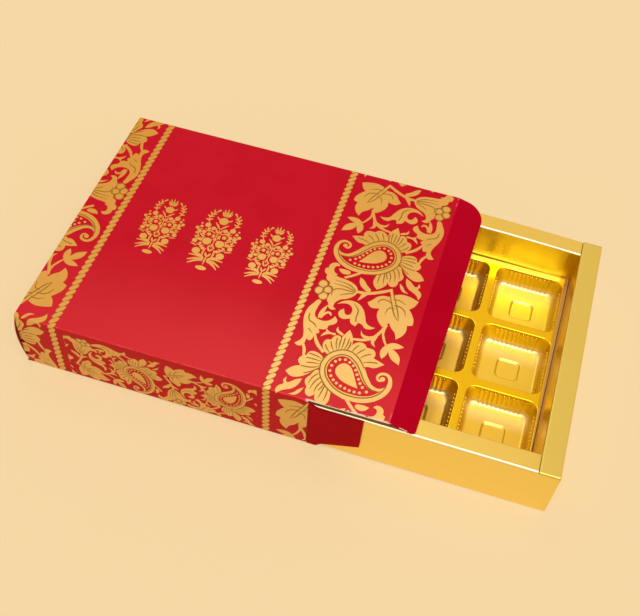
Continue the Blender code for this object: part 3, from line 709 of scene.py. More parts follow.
def bandRepeats(mesh, low, high, turn=Matrix.Identity(4), nudges={}):
    # the band from low to high of its endless run: each repeat is followed by its mirrored glide
    look = bandLook
    glide = Matrix.Translation((look["glideX"], -look["glideY"], 0)) @ Matrix.Diagonal((-1, 1, 1, 1))
    period = 2 * look["glideY"]
    first = math.floor((low - look["unitLow"] - look["unitHeight"]) / period)
    bm = bmesh.new()
    for k in range(first, first + look["repeats"]):
        for kind, placement in (("plain", Matrix.Identity(4)), ("glide", glide)):
            base = k * period + (look["unitLow"] if kind == "plain" else look["glideLow"])
            if base + look["unitHeight"] >= low and base <= high:
                nudge = nudges.get((kind, k), Matrix.Identity(4))
                lay(bm, mesh, turn @ nudge @ Matrix.Translation((0, k * period, 0)) @ placement)
    return bm


# The sleeve's skin runs round its girth: s is 0 at the front top edge and grows over the top to the back.
girthTall = topZ / mm
girthWide = 2 * sideY / mm
girthLow, girthHigh = -girthTall - girthWide, girthWide + girthTall


def onGirth(s, lift):
    # a place on the rounded tube, as (y, z), this far above the board
    width, height, fold = 2 * sideY, topZ, sleeveLook["fold"]
    sides = (
        (width, complex(-sideY, topZ), 1), (height, complex(sideY, topZ), -1j),
        (width, complex(sideY, 0), -1), (height, complex(-sideY, 0), 1j),
    )
    s = s % (2 * width + 2 * height)
    for length, corner, heading in sides:
        if s <= length:
            break
        s -= length
    outward = heading * 1j
    bent = max(fold - s, s - length + fold, 0) / fold
    angle = math.pi / 4 * bent
    if s < fold:
        centre = corner + heading * fold - outward * fold
        spot = centre + (fold + lift) * outward * complex(math.cos(angle), math.sin(angle))
    elif s > length - fold:
        centre = corner + heading * (length - fold) - outward * fold
        spot = centre + (fold + lift) * outward * complex(math.cos(angle), -math.sin(angle))
    else:
        spot = corner + heading * s + outward * lift
    return spot.real, spot.imag


def intoMetres(bm):
    # from the drawing's millimetres to the skin: x along the box, s round it, lift off the board
    bmesh.ops.scale(bm, verts=bm.verts[:], vec=(mm, mm, mm))
    bmesh.ops.translate(bm, verts=bm.verts[:], vec=(mouthX, 0, 0))
    return bm


def wrapOnSleeve(bm):
    # cuts the print where the skin bends round the four folds, and lays it round the tube
    low = min(vert.co.y for vert in bm.verts)
    high = max(vert.co.y for vert in bm.verts)
    corners = (-topZ - 2 * sideY, -topZ, 0, 2 * sideY, 2 * sideY + topZ)
    bends = [corner + share * sleeveLook["fold"] for corner in corners for share in (-1, -0.5, 0, 0.5, 1)]
    cutAcross(bm, 1, [bend for bend in bends if low < bend < high])
    for vert in bm.verts:
        vert.co.y, vert.co.z = onGirth(vert.co.y, vert.co.z)
    return bm


def printPiece(name, parts, body):
    # parts are (bmesh, ink); one piece with a material for each
    bm = bmesh.new()
    for index, (part, ink) in enumerate(parts):
        start = len(bm.faces)
        mesh = bpy.data.meshes.new("part")
        part.to_mesh(mesh)
        part.free()
        bm.from_mesh(mesh)
        bpy.data.meshes.remove(mesh)
        bm.faces.ensure_lookup_table()
        for face in bm.faces[start:]:
            face.material_index = index
    finishPiece(name, bm, [ink for part, ink in parts], body, sharp=30)


def thinToCrease(bm):
    # the ink thins out at the mouth's crease, so that the end panel can fold back over the top
    reach = bandLook["creaseReach"]
    cutAcross(bm, 0, [mouthX - reach, mouthX + reach])
    for vert in bm.verts:
        vert.co.z *= min(abs(vert.co.x - mouthX) / reach, 1)


def mouthBand(mesh):
    # the large band at the mouth, and its end on the opened panel
    gap, edge = bandLook["creaseGap"], bandLook["panelEdge"]
    sleeve = intoMetres(bandRepeats(mesh, girthLow, girthHigh, nudges=frontNudges))
    keepBetween(sleeve, 1, girthLow * mm, girthHigh * mm)
    panel = sleeve.copy()
    keepBetween(sleeve, 0, high=mouthX - gap)
    keepBetween(panel, 0, low=mouthX + gap)
    thinToCrease(sleeve)
    thinToCrease(panel)
    keepBetween(panel, 1, edge, 2 * sideY - edge)
    bmesh.ops.translate(panel, verts=panel.verts[:], vec=(0, -sideY, topZ))
    return sleeve, panel


def closedBand(mesh):
    # the band at the closed end, turned round, and its end on the closed panel
    turnX, turnY = bandLook["closedTurnX"], bandLook["closedTurnY"]
    turn = Matrix.Translation((turnX, turnY, 0)) @ Matrix.Rotation(math.pi, 4, "Z")
    sleeve = intoMetres(bandRepeats(mesh, turnY - girthHigh, turnY - girthLow, turn))
    keepBetween(sleeve, 1, girthLow * mm, girthHigh * mm)
    panel = sleeve.copy()
    keepBetween(sleeve, 0, low=closedX + bandLook["creaseGap"])
    keepBetween(panel, 0, high=closedX)
    edge = sideY - closedPanel["halfWidth"]
    keepBetween(panel, 1, edge, 2 * sideY - edge)
    ontoClosedPanel(panel)
    return sleeve, panel


def largeBands():
    for label, band in (("right", mouthBand), ("left", closedBand)):
        sleeveParts, panelParts = [], []
        for mesh, ink in bandInks:
            sleeve, panel = band(mesh)
            sleeveParts.append((wrapOnSleeve(sleeve), ink))
            panelParts.append((panel, ink))
        printPiece(label + "BandPrint", sleeveParts, "sleeve")
        printPiece(label + "PanelPrint", panelParts, label + "_end_panel")


panelLow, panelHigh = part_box("left_end_panel")
closedPanel = {
    "bow": closedX - panelLow.x, "segments": 26, "halfWidth": panelHigh.y, "low": panelLow.z,
    "high": panelHigh.z,
}
closedPanel["bends"] = evenSteps(closedPanel["low"], closedPanel["high"], closedPanel["segments"])


def endBow(height):
    # how far the closed end stands out at this height
    return closedPanel["bow"] * math.sin(math.pi * min(max(height / topZ, 0), 1))


def ontoClosedPanel(bm):
    # the skin goes over the closed crease and down the bowed end
    over = closedX - topZ
    keepBetween(bm, 0, over + closedPanel["low"], over + closedPanel["high"])
    cutAcross(bm, 0, [over + bend for bend in closedPanel["bends"]])
    for vert in bm.verts:
        height = vert.co.x - over
        vert.co = (closedX - endBow(height) - vert.co.z, vert.co.y - sideY, height)


print("printing the bands")
largeBands()

friezeLook = {
    "scale": 0.64, "reach": 50.0, "centre": -75.0, "base": 15.0, "middle": 82.0, "low": -106.6,
    "high": -21.6, "top": 29.6, "backShift": 22.0,
}


def friezes():
    # the same ornament, smaller and lying along the side walls between the ropes
    look = friezeLook
    size, middle = look["scale"], look["middle"]
    front = (
        Matrix.Translation((look["centre"], -girthTall, 0)) @ Matrix.Rotation(math.pi / 2, 4, "Z")
        @ Matrix.Diagonal((size, size, 1, 1)) @ Matrix.Translation((look["base"], -middle, 0))
    )
    shift = Matrix.Translation((2 * look["centre"] + look["backShift"], girthWide, 0))
    back = shift @ Matrix.Rotation(math.pi, 4, "Z") @ front
    fold, top = sleeveLook["fold"], look["top"] * mm
    girthEnd = 2 * sideY + topZ
    for label, turn, low, high in (
        ("front", front, fold - topZ, top - topZ), ("back", back, girthEnd - top, girthEnd - fold),
    ):
        parts = []
        for mesh, ink in bandInks:
            bm = bandRepeats(mesh, middle - look["reach"] / size, middle + look["reach"] / size, turn)
            intoMetres(bm)
            keepBetween(bm, 0, mouthX + look["low"] * mm, mouthX + look["high"] * mm)
            keepBetween(bm, 1, low, high)
            parts.append((wrapOnSleeve(bm), ink))
        printPiece(label + "FriezePrint", parts, "sleeve")


print("printing the friezes")
friezes()

ropeLook = {
    "right": -17.7, "left": -111.3, "width": 2.7, "pitch": 3.08, "slant": 1.8, "strand": 1.95, "shade": 2.5,
    "bends": ((-1, -1), (-0.45, -0.4), (0.45, 0.4), (1, 1)), "ends": (0.5, 0.5),
}


def ropes():
    # two-strand ropes round the sleeve: slanting gold strands over a darker strip
    look = ropeLook
    girth = girthHigh - girthLow
    count = int(girth / look["pitch"])
    for label in ("right", "left"):
        centre = look[label]
        gold = Stencil()
        for i in range(count):
            s = girthLow + (i + 0.5) * girth / count
            strand = [(centre + x * look["width"] / 2, s + y * look["slant"]) for x, y in look["bends"]]
            gold.stroke(look["strand"], *strand, ends=look["ends"])
        strands = bmesh.new()
        addMesh(strands, gold.mesh("rope strands", printLook["step"] * (printLook["steps"] + 1)))
        shade = makeBlock((look["shade"], girth, printLook["thick"]), (centre, 0, 0))
        parts = []
        for bm, ink in ((strands, inkGold), (shade, inkRope)):
            keepBetween(intoMetres(bm), 1, girthLow * mm, girthHigh * mm)
            parts.append((wrapOnSleeve(bm), ink))
        printPiece(label + "RopePrint", parts, "sleeve")


def butas():
    # the outer two bouquets are a little smaller
    base = butaLook["base"]
    for label, x, size in butaLook["places"]:
        place = Matrix.Translation((x, base + (1 - size) * butaLook["lift"], 0))
        bm = bmesh.new()
        lay(bm, unitButa, place @ Matrix.Diagonal((size, size, 1, 1)) @ Matrix.Translation((0, -base, 0)))
        printPiece(label + "ButaPrint", [(wrapOnSleeve(intoMetres(bm)), inkGold)], "sleeve")


print("printing the ropes")
ropes()
print("printing the bouquets")
butas()


# Sleeve

def sleeveSkin():
    # the tube: side walls stop where the closed end's dust flaps turn in
    length = mouthX - closedX
    bm = makeBlock((length, 2 * sideY, topZ), ((mouthX + closedX) / 2, 0, topZ / 2))
    bmesh.ops.delete(bm, geom=[face for face in bm.faces if abs(face.normal.x) > 0.9], context="FACES")
    along = [edge for edge in bm.edges if abs(edge.verts[0].co.x - edge.verts[1].co.x) > length / 2]
    bmesh.ops.bevel(
        bm, geom=along, offset=sleeveLook["fold"], offset_type="OFFSET", segments=sleeveLook["foldSteps"],
        profile=0.5, affect="EDGES", material=-1, clamp_overlap=True)
    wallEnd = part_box("left_front_dust_flap")[1].x + 0.05 * mm
    cutAcross(bm, 0, [wallEnd])
    bm.normal_update()
    ends = [face for face in bm.faces if abs(face.normal.y) > 0.99 and face.calc_center_median().x < wallEnd]
    bmesh.ops.delete(bm, geom=ends, context="FACES")
    piece = finishPiece("sleeveSkin", bm, [redPrint, boardBack], "sleeve", ["sleeve_shell"])
    addBoard(piece, sleeveLook["board"], back=1)


def closedEndPanel():
    board, low, high = sleeveLook["board"], closedPanel["low"], closedPanel["high"]
    size = (board, 2 * closedPanel["halfWidth"], high - low)
    bm = makeBlock(size, (closedX + board / 2, 0, (high + low) / 2))
    cutAcross(bm, 2, closedPanel["bends"])
    for vert in bm.verts:
        vert.co.x -= endBow(vert.co.z)
    bm.normal_update()
    for face in bm.faces:
        face.material_index = 0 if face.normal.x < -0.5 else 1
    node = "left_end_panel"
    finishPiece("closedEndPanel", bm, [redPrint, panelBack], node, [node])


tuckFlap = {
    "depth": 13.5 * mm, "taper": 2.3 * mm, "bigCorner": 8.5 * mm, "smallCorner": 2.2 * mm, "bend": 16.0,
    "root": 0.08 * mm, "curl": 0.5 * mm, "curlCuts": 10, "creaseSteps": 4, "cornerSteps": 10,
}


def openEndPanel():
    # the flat panel, rounded over its far crease
    half, board, low = sideY - bandLook["panelEdge"], sleeveLook["board"], mouthX
    high = tuckCrease - tuckFlap["root"]
    bm = makeBlock((high - low, 2 * half, board), ((high + low) / 2, 0, topZ - board / 2))
    far = max(bm.faces, key=lambda face: face.calc_center_median().x)
    bmesh.ops.spin(
        bm, geom=[far], cent=(high, 0, topZ - board), axis=(0, 1, 0), dvec=(0, 0, 0),
        angle=math.radians(tuckFlap["bend"]), steps=tuckFlap["creaseSteps"], use_duplicate=False)
    bmesh.ops.delete(bm, geom=[far], context="FACES_ONLY")
    bmesh.ops.remove_doubles(bm, verts=bm.verts[:], dist=1e-6)
    bm.normal_update()
    for face in bm.faces:
        face.material_index = 2 if abs(face.normal.y) > 0.5 else 1 if face.normal.z < -0.5 else 0
    node = "right_end_panel"
    finishPiece("openEndPanel", bm, [panelPrint, boardBack, boardCore], node, [node])


def roundCorner(x, y, radius, start):
    steps = tuckFlap["cornerSteps"]
    angles = [start + math.pi / 2 * i / steps for i in range(steps + 1)]
    return [(x + radius * math.cos(a), y + radius * math.sin(a)) for a in angles]


def openTuckFlap():
    # plain flap on the end panel's far crease, bent down a little, with one large round corner at the back
    look = tuckFlap
    half = sideY - bandLook["panelEdge"]
    small, big = look["smallCorner"], look["bigCorner"]
    points = [(look["root"], -half)]
    points += roundCorner(look["depth"] - look["taper"] - small, small - half, small, -math.pi / 2)
    points += roundCorner(look["depth"] - big, half - big, big, 0)
    points += [(look["root"], half)]
    bm = bmesh.new()
    bm.faces.new([bm.verts.new((x, y, 0)) for x, y in points])
    cutAcross(bm, 0, evenSteps(0, look["depth"], look["curlCuts"]))
    lookUp(bm)
    for vert in bm.verts:
        vert.co.z -= look["curl"] * (vert.co.x / look["depth"]) ** 2
    turn = Matrix.Translation((tuckCrease, 0, topZ)) @ Matrix.Rotation(math.radians(look["bend"]), 4, "Y")
    bmesh.ops.transform(bm, verts=bm.verts[:], matrix=turn)
    node = "right_tuck_flap"
    piece = finishPiece("openTuckFlap", bm, [flapRed, boardBack], node, [node])
    addBoard(piece, sleeveLook["board"], back=1)


print("folding the sleeve")
sleeveSkin()
closedEndPanel()
openEndPanel()
openTuckFlap()
repaint(dustRed, "left_tuck_flap", "left_front_dust_flap", "left_back_dust_flap", "right_front_dust_flap",
        "right_back_dust_flap", "sleeve_seam_flap")


# Tray

trayAxis = Vector(joints["tray_slide"]["axis"])
trayDip = math.atan2(-trayAxis.z, trayAxis.x)
trayTurn = Matrix.Rotation(trayDip, 4, "Y")


def trayBox(node):
    # a node's box along the tray's own dipped axes
    back = trayTurn.inverted()
    places = [back @ vert.co for vert in frame["nodes"][node].data.vertices]
    return [Vector([pick(place[i] for place in places) for i in range(3)]) for pick in (min, max)]


# painted light among these colours: the brighter outer board, inner golds, highlights, deck edges, floor
# sides, under-flap golds
goldLook = {
    "board": srgb(238, 212, 120), "boardDeep": srgb(234, 204, 108), "boardOuter": srgb(250, 219, 114),
    "boardEnd": srgb(226, 204, 112), "inside": srgb(250, 228, 64), "insideRight": srgb(212, 172, 6),
    "wornFold": srgb(255, 244, 214), "flange": srgb(255, 216, 146), "ribHead": srgb(255, 238, 120),
    "sheet": srgb(250, 208, 42), "sheetDeep": srgb(246, 199, 34), "sheetRight": srgb(226, 176, 30),
    "sheetBack": srgb(250, 226, 150), "wall": srgb(223, 190, 28), "wallShade": srgb(238, 181, 14),
    "floorFront": srgb(238, 200, 80), "floorBack": srgb(246, 222, 88), "floorFar": srgb(248, 224, 152),
    "floorShade": srgb(255, 214, 98),
}


def metallisedBoard(name, colour, deep):
    # satin foil, fine rolled streaks; outer faces below the rim brighter as a painted reflection of the
    # floor
    finish = Finish(name, Metallic=0.85)
    streak = finish.noise(160, 4, (0.15, 0.15, 1))
    shade = finish.mix(finish.noise(30, 2), colour, deep)
    rim = trayBox("tray_front_wall")[1].z
    height = finish.axis("Z") + finish.axis("X") * math.tan(trayDip)
    outer = finish.ramp(height, rim - 0.8 * mm, rim - 2 * mm)
    finish.set("Base Color", finish.mix(outer, shade, goldLook["boardOuter"]))
    finish.set("Roughness", streak * 0.1 + 0.26)
    finish.bump(finish.noise(700, 3), 0.02 * mm, 0.3)
    return finish.material


def insideFoil():
    # painted reflection: the inner faces get a deeper gold; painted shade: the end wall's is darker
    finish = Finish("inner gold foil", Metallic=0.85)
    ripple = finish.noise(90, 3, (0.4, 0.4, 1))
    end = trayBox("tray_right_wall")[0].x
    atEnd = finish.ramp(finish.axis("X"), end - 6 * mm, end - 4 * mm)
    colour = finish.mix(atEnd, goldLook["inside"], goldLook["insideRight"])
    cloud = finish.ramp(ripple, 0.35, 0.7) * 0.35
    finish.set("Base Color", finish.mix(cloud, colour, goldLook["insideRight"]))
    finish.set("Roughness", ripple * 0.1 + 0.24)
    return finish.material


def dullFoil(name, colour, roughness, metal=0.8):
    finish = Finish(name, Metallic=metal)
    cloud = finish.noise(400, 3)
    finish.set("Base Color", finish.mix(cloud, colour, darker(colour, 0.85)))
    finish.set("Roughness", cloud * 0.1 + roughness)
    return finish.material


goldBoard = metallisedBoard("metallised gold board", goldLook["board"], goldLook["boardDeep"])
endBoard = metallisedBoard("metallised end board", goldLook["boardEnd"], goldLook["boardEnd"])
innerFoil = insideFoil()
# the rims' folds get a pale foil as a painted highlight
highlightFoil = dullFoil("rubbed foil fold", goldLook["wornFold"], 0.3)
flangeFoil = dullFoil("trimmed foil edge", goldLook["flange"], 0.45, 0.5)
# the rib heads' paler gold is a painted highlight
glintFoil = dullFoil("rib heads", goldLook["ribHead"], 0.22)

trayLook = {
    "board": 0.5 * mm, "foldRadius": 0.7 * mm, "foldSteps": 5, "seam": 0.12 * mm, "lean": 0.9 * mm,
    "spans": 16, "floorTop": 0.8 * mm, "endLeanFront": 2.2 * mm, "endLeanBack": 0.55 * mm,
    "endClearance": 0.02 * mm, "topClearance": 0.05 * mm,
}


def wallProfile(rim, height, kink):
    # outer wall, rim and inner wall as one folded strip, from (across, up)
    radius, steps = trayLook["foldRadius"], trayLook["foldSteps"]
    bends = [math.pi / 2 * i / steps for i in range(steps + 1)]
    high = height - radius
    first = [(radius - radius * math.cos(a), high + radius * math.sin(a)) for a in bends]
    second = [(rim - radius + radius * math.sin(a), high + radius * math.cos(a)) for a in bends]
    outer = [(0, 0), (0, height * 0.5)]
    return outer + first + [(rim / 2, height)] + second + [(rim, kink), (rim, trayLook["floorTop"])]


def addLaps(bm, span, reach, carried):
    # part of the profile runs on past both ends of the wall
    for end, sign in zip(span, (-1, 1)):
        edges = [
            edge for edge in bm.edges if edge.is_boundary
            and all(abs(vert.co.x - end) < 1e-6 and carried(vert.co) for vert in edge.verts)
        ]
        verts = growEdges(bm, edges)[0]
        bmesh.ops.translate(bm, verts=verts, vec=(sign * reach, 0, 0))


def foldedWall(name, node, place, span, rim, height, kink, lap, carried, lapCut=None, bow=0.0,
               lean=(0.0, 0.0), rubbed=None, outside=goldBoard):
    # span is (low, high) along the wall; the inner face leans in by lean at either end of the wall,
    # down to the kink and straight below it
    low, high = span
    radius = trayLook["foldRadius"]
    bm = bmesh.new()
    line = [bm.verts.new((low, across, up)) for across, up in wallProfile(rim, height, kink)]
    edges = [bm.edges.new(pair) for pair in zip(line, line[1:])]
    for i in range(trayLook["spans"]):
        verts, edges, faces = growEdges(bm, edges)
        bmesh.ops.translate(bm, verts=verts, vec=((high - low) / trayLook["spans"], 0, 0))
    for face in bm.faces:
        centre = face.calc_center_median()
        fold = "outer" if centre.y < radius else "inner" if centre.y > rim - radius else "flat"
        if centre.y > rim - 1e-6:
            face.material_index = 1
        # painted highlight: faces round the fold named by rubbed get the pale foil
        elif fold == rubbed and centre.z > height - radius:
            face.material_index = 2
    for vert in bm.verts:
        share = (vert.co.x - low) / (high - low)
        if vert.co.y > rim - 1e-6:
            fall = min((height - vert.co.z) / (height - kink), 1)
            vert.co.y += (lean[0] + (lean[1] - lean[0]) * share) * fall
        vert.co.y -= bow * math.sin(math.pi * share) * vert.co.z / height
    if lapCut:
        cutAcross(bm, 2, [lapCut - 1e-6])
    addLaps(bm, span, lap, carried)
    lookUp(bm)
    bmesh.ops.transform(bm, verts=bm.verts[:], matrix=trayTurn @ place)
    piece = finishPiece(name, bm, [outside, innerFoil, highlightFoil], "tray", [node], sharp=50)
    addBoard(piece, trayLook["board"])


def trayWalls():
    look = trayLook
    frontLow, frontHigh = trayBox("tray_front_wall")
    backHigh = trayBox("tray_back_wall")[1]
    leftLow = trayBox("tray_left_wall")[0]
    rightLow, rightHigh = trayBox("tray_right_wall")
    base = frontLow.z
    height = frontHigh.z - base
    deck = trayBox("insert_tray")[1].z - base
    endRim, sideRim = rightHigh.x - rightLow.x, frontHigh.y - frontLow.y
    lap = endRim + look["seam"]
    innerLow, innerHigh = leftLow.x + lap, rightHigh.x - lap
    # the side walls' outer faces run on under the end walls' rims
    tuck = height - look["board"] - look["topClearance"]
    sides = {"lap": lap, "lapCut": tuck, "carried": lambda co: abs(co.y) < 1e-6 and co.z < tuck}
    place = Matrix.Translation((0, frontLow.y, base))
    # the front wall's outer fold and the back wall's inner fold get the painted highlight
    foldedWall("trayFrontWall", "tray_front_wall", place, (innerLow, innerHigh), sideRim, height, deck,
               rubbed="outer", **sides)
    place = Matrix.Translation((0, rightHigh.y, base)) @ Matrix.Rotation(math.pi, 4, "Z")
    foldedWall("trayBackWall", "tray_back_wall", place, (-innerHigh, -innerLow), sideRim, height, deck,
               bow=backHigh.y - rightHigh.y, lean=(look["lean"], look["lean"]), rubbed="inner", **sides)
    # the end walls' rims run on over the side walls
    reach = look["board"] + look["endClearance"]
    half = (rightHigh.y - rightLow.y) / 2 - reach
    rimLow = height - look["foldRadius"] - 1e-6
    middle = (frontLow.y + rightHigh.y) / 2
    for name, node, x, turn, lean in (
        ("trayRightWall", "tray_right_wall", rightHigh.x, 90, (look["endLeanFront"], look["endLeanBack"])),
        ("trayLeftWall", "tray_left_wall", leftLow.x, -90, (0.0, 0.0)),
    ):
        place = Matrix.Translation((x, middle, base)) @ Matrix.Rotation(math.radians(turn), 4, "Z")
        foldedWall(name, node, place, (-half, half), endRim, height, deck, reach, lambda co: co.z > rimLow,
                   lean=lean, outside=endBoard)


print("folding the tray")
trayWalls()
repaint(goldBoard, "tray_floor", "tray_front_left_corner_tab", "tray_front_right_corner_tab",
        "tray_back_left_corner_tab", "tray_back_right_corner_tab")

# Insert: three by three fluted cavities

insertLook = {
    "count": 3, "endMargin": 0.6 * mm, "sideMargin": 2.95 * mm, "endWeb": 4.1 * mm, "sideWeb": 4.4 * mm,
    "draft": 1.6 * mm, "corner": 3.6 * mm, "cornerSteps": 8, "lip": 0.6 * mm, "lipSteps": 4,
    "fillet": 2.2 * mm, "filletRibs": (0.9, 0.9, 0.5, 0.0, 0.0), "floorZ": 2.0 * mm, "thick": 0.3 * mm,
    "ribPitch": 2.0 * mm, "ribCount": 10, "ribDepth": 0.4 * mm, "ribTop": 1.25 * mm, "ribSamples": 5,
    "ribShare": 0.17, "headRadius": 0.38 * mm, "headDrop": 0.1 * mm, "headInset": 0.2 * mm,
    "pad": 10.3 * mm, "padCorner": 2.0 * mm, "padDepth": 0.8 * mm, "padDraft": 0.9 * mm,
    "flangeRight": 1.45 * mm, "flangeBack": 0.5 * mm, "endEdge": 0.12 * mm, "sideEdge": 0.3 * mm,
}


def insertPlan():
    # the formed sheet's sizes, worked out from the node it stands for
    look = insertLook
    low, high = trayBox("insert_tray")
    middle = (low + high) / 2
    fieldLength = high.x - low.x - 2 * look["endMargin"] + look["endWeb"]
    fieldWidth = high.y - low.y - 2 * look["sideMargin"] + look["sideWeb"]
    pitchX, pitchY = fieldLength / look["count"], fieldWidth / look["count"]
    steps = [i - (look["count"] - 1) / 2 for i in range(look["count"])]
    return {
        "middle": middle, "top": high.z, "bottom": low.z, "pitchX": pitchX, "pitchY": pitchY,
        "deckX": (high.x - low.x) / 2 + look["endEdge"], "deckY": (high.y - low.y) / 2 - look["sideEdge"],
        "near": middle.y - fieldWidth / 2, "right": middle.x + fieldLength / 2 - look["endWeb"] / 2,
        "back": middle.y + fieldWidth / 2 - look["sideWeb"] / 2,
        "length": pitchX - look["endWeb"], "width": pitchY - look["sideWeb"],
        "depth": high.z - trayBox("tray_floor")[0].z - look["floorZ"],
        "centres": [(middle.x + i * pitchX, middle.y + j * pitchY, high.z) for i in steps for j in steps],
    }


def formedSheet(plan):
    # bright vacuum-formed foil: glossy, slightly rippled, deeper gold on the cavity walls and paler on their
    # floors
    finish = Finish("formed gold sheet", Metallic=0.88)
    ripple = finish.noise(140, 3)
    along, across, height = [finish.axis(letter) for letter in "XYZ"]
    flat = finish.mix(ripple, goldLook["sheet"], goldLook["sheetDeep"])
    # painted shade on the deck's right edge; painted highlight along its back edge
    atRight = finish.ramp(along, plan["right"] - 0.1 * mm, plan["right"] + 0.2 * mm)
    flat = finish.mix(atRight, flat, goldLook["sheetRight"])
    atBack = finish.ramp(across, plan["back"], plan["back"] + 0.8 * mm)
    flat = finish.mix(atBack, flat, goldLook["sheetBack"])
    wall = finish.ramp(height, 11.5 * mm, 9 * mm)
    low = finish.ramp(height, 5.5 * mm, 3.4 * mm)
    # painted shade and reflection: the cavities half under the flap get a warmer gold
    shadeEdge = plan["middle"].x + plan["pitchX"] / 2
    shaded = finish.ramp(along, shadeEdge + 1.2 * mm, shadeEdge - 1.2 * mm)
    drawn = finish.mix(wall, flat, finish.mix(shaded, goldLook["wall"], goldLook["wallShade"]))
    # painted light: the floors are paler towards the back
    floor = finish.mix(finish.ramp(across, -30 * mm, 38 * mm), goldLook["floorFront"], goldLook["floorBack"])
    floor = finish.mix(shaded, floor, goldLook["floorShade"])
    # painted highlight: the far side of each floor is the palest
    cell = finish.math("FRACT", (across - plan["near"]) * (1 / plan["pitchY"]))
    floor = finish.mix(finish.ramp(cell, 0.56, 0.76), floor, goldLook["floorFar"])
    finish.set("Base Color", finish.mix(low, drawn, floor))
    finish.set("Roughness", ripple * 0.08 + wall * 0.12 + low * 0.04 + 0.16)
    finish.bump(ripple, 0.1 * mm, 0.3)
    return finish.material


def squarePath(length, width, corner):
    # a rounded rectangle, sampled alike at any size: (x, y, rib phase or None)
    look = insertLook
    samples = look["ribSamples"] * look["ribCount"]
    points = []
    for quarter in range(4):
        long, wide = (length, width) if quarter % 2 == 0 else (width, length)
        straight = long - 2 * corner
        reach = min(look["ribPitch"] * look["ribCount"], straight * 0.98)
        turn = math.pi / 2 * quarter
        places = [(complex(-straight / 2, -wide / 2), None)]
        for i in range(samples + 1):
            places.append((complex(reach * (i / samples - 0.5), -wide / 2), i / look["ribSamples"]))
        places.append((complex(straight / 2, -wide / 2), None))
        for i in range(1, look["cornerSteps"]):
            angle = -math.pi / 2 + math.pi / 2 * i / look["cornerSteps"]
            x = straight / 2 + corner * math.cos(angle)
            y = -wide / 2 + corner + corner * math.sin(angle)
            places.append((complex(x, y), None))
        for place, phase in places:
            spot = place * complex(math.cos(turn), math.sin(turn))
            points.append((spot.real, spot.imag, phase))
    return points


def cavityRings(plan):
    # (length, width, corner radius, drop, rib strength) from the lip down to the recess in the floor
    look = insertLook
    depth, lip, fillet, top = plan["depth"], look["lip"], look["fillet"], look["ribTop"]
    lean = math.atan2(look["draft"], depth)
    slope = look["draft"] / depth
    rings = []
    for i in range(look["lipSteps"] + 1):
        angle = (math.pi / 2 - lean) * i / look["lipSteps"]
        rings.append((lip * math.sin(angle) - lip, lip - lip * math.cos(angle), look["corner"] + lip, 0.0))
    end = depth - fillet * (1 - math.sin(lean))
    for drop, ribs in ((top - 0.1 * mm, 0), (top + 0.1 * mm, 0.75), (top + 0.35 * mm, 1),
                       (top + 0.8 * mm, 0.8), ((top + end) / 2, 0.75), (end, 0.8)):
        rings.append((slope * drop, drop, look["corner"], ribs))
    for i, ribs in enumerate(look["filletRibs"]):
        angle = lean + (math.pi / 2 - lean) * (i + 1) / len(look["filletRibs"])
        inset = slope * end + fillet * (math.cos(lean) - math.cos(angle))
        drop = end + fillet * (math.sin(angle) - math.sin(lean))
        rings.append((inset, drop, look["corner"], ribs))
    rows = [(plan["length"] - 2 * i, plan["width"] - 2 * i, corner, d, ribs) for i, d, corner, ribs in rings]
    pad, corner, draft, floor = look["pad"], look["padCorner"], look["padDraft"], depth + look["padDepth"]
    for size, bend, drop in (
        (pad + 1.0 * mm, corner + 0.5 * mm, depth), (pad + 0.5 * mm, corner + 0.3 * mm, depth + 0.06 * mm),
        (pad, corner, depth + 0.2 * mm), (pad - draft, corner, floor - 0.15 * mm),
        (pad - 1.6 * draft, corner, floor),
    ):
        rows.append((size, size, bend, drop, 0))
    return rows


def settleRing(verts, centre, length, width, corner, drop, ribs):
    # moves a ring of the cavity to its place, with the ribs standing in from the walls
    look = insertLook
    for vert, (x, y, phase) in zip(verts, squarePath(length, width, corner)):
        pull = 0.0
        if ribs and phase is not None:
            pull = look["ribDepth"] * ribs * math.exp(-((phase % 1 - 0.5) / look["ribShare"]) ** 2)
        inward = Vector((0, 0, 0))
        if abs(abs(x) - length / 2) < 1e-7:
            inward.x = -math.copysign(pull, x)
        if abs(abs(y) - width / 2) < 1e-7:
            inward.y = -math.copysign(pull, y)
        vert.co = Vector(centre) + Vector((x, y, -drop)) + inward


def sinkCavity(bm, centre, rings):
    # the cavity from its rim downwards, closed by the recess in its floor; returns the rim's edges
    count = len(squarePath(*rings[0][:3]))
    verts = bmesh.ops.create_circle(bm, segments=count, radius=rings[0][0])["verts"]
    verts.sort(key=lambda vert: math.atan2(vert.co.y, vert.co.x) % (2 * math.pi))
    rim = edgesOf(verts)
    settleRing(verts, centre, *rings[0])
    edges = rim
    for row in rings[1:]:
        fresh, edges, faces = growEdges(bm, edges)
        below = {edge.other_vert(vert): vert for vert in fresh for edge in vert.link_edges}
        verts = [below[vert] for vert in verts]
        settleRing(verts, centre, *row)
    bmesh.ops.contextual_create(bm, geom=edges)
    return rim


def skirt(bm, edges, plan):
    # the deck's rounded edge and the skirt below it, wider where the sheet was trimmed at the back right
    middle, top = plan["middle"], plan["top"]
    for out, drop, flange in ((0.2 * mm, 0.08 * mm, 0), (0.3 * mm, 0.3 * mm, 0), (0.35 * mm, 0.45 * mm, 1),
                              (0.35 * mm, top - plan["bottom"], 1)):
        verts, edges, faces = growEdges(bm, edges)
        for vert in verts:
            right, back = vert.co.x > middle.x, vert.co.y > middle.y
            vert.co.x = middle.x + math.copysign(plan["deckX"] + out, vert.co.x - middle.x)
            vert.co.y = middle.y + math.copysign(plan["deckY"] + out, vert.co.y - middle.y)
            vert.co.z = top - drop
            if flange and back:
                vert.co.x += insertLook["flangeRight"] if right else 0
                vert.co.y += insertLook["flangeBack"]
        for face in faces:
            atRight = face.calc_center_median().x > middle.x + plan["deckX"] * 0.98
            face.material_index = 1 if drop < 1 * mm and (atRight or flange) else 0


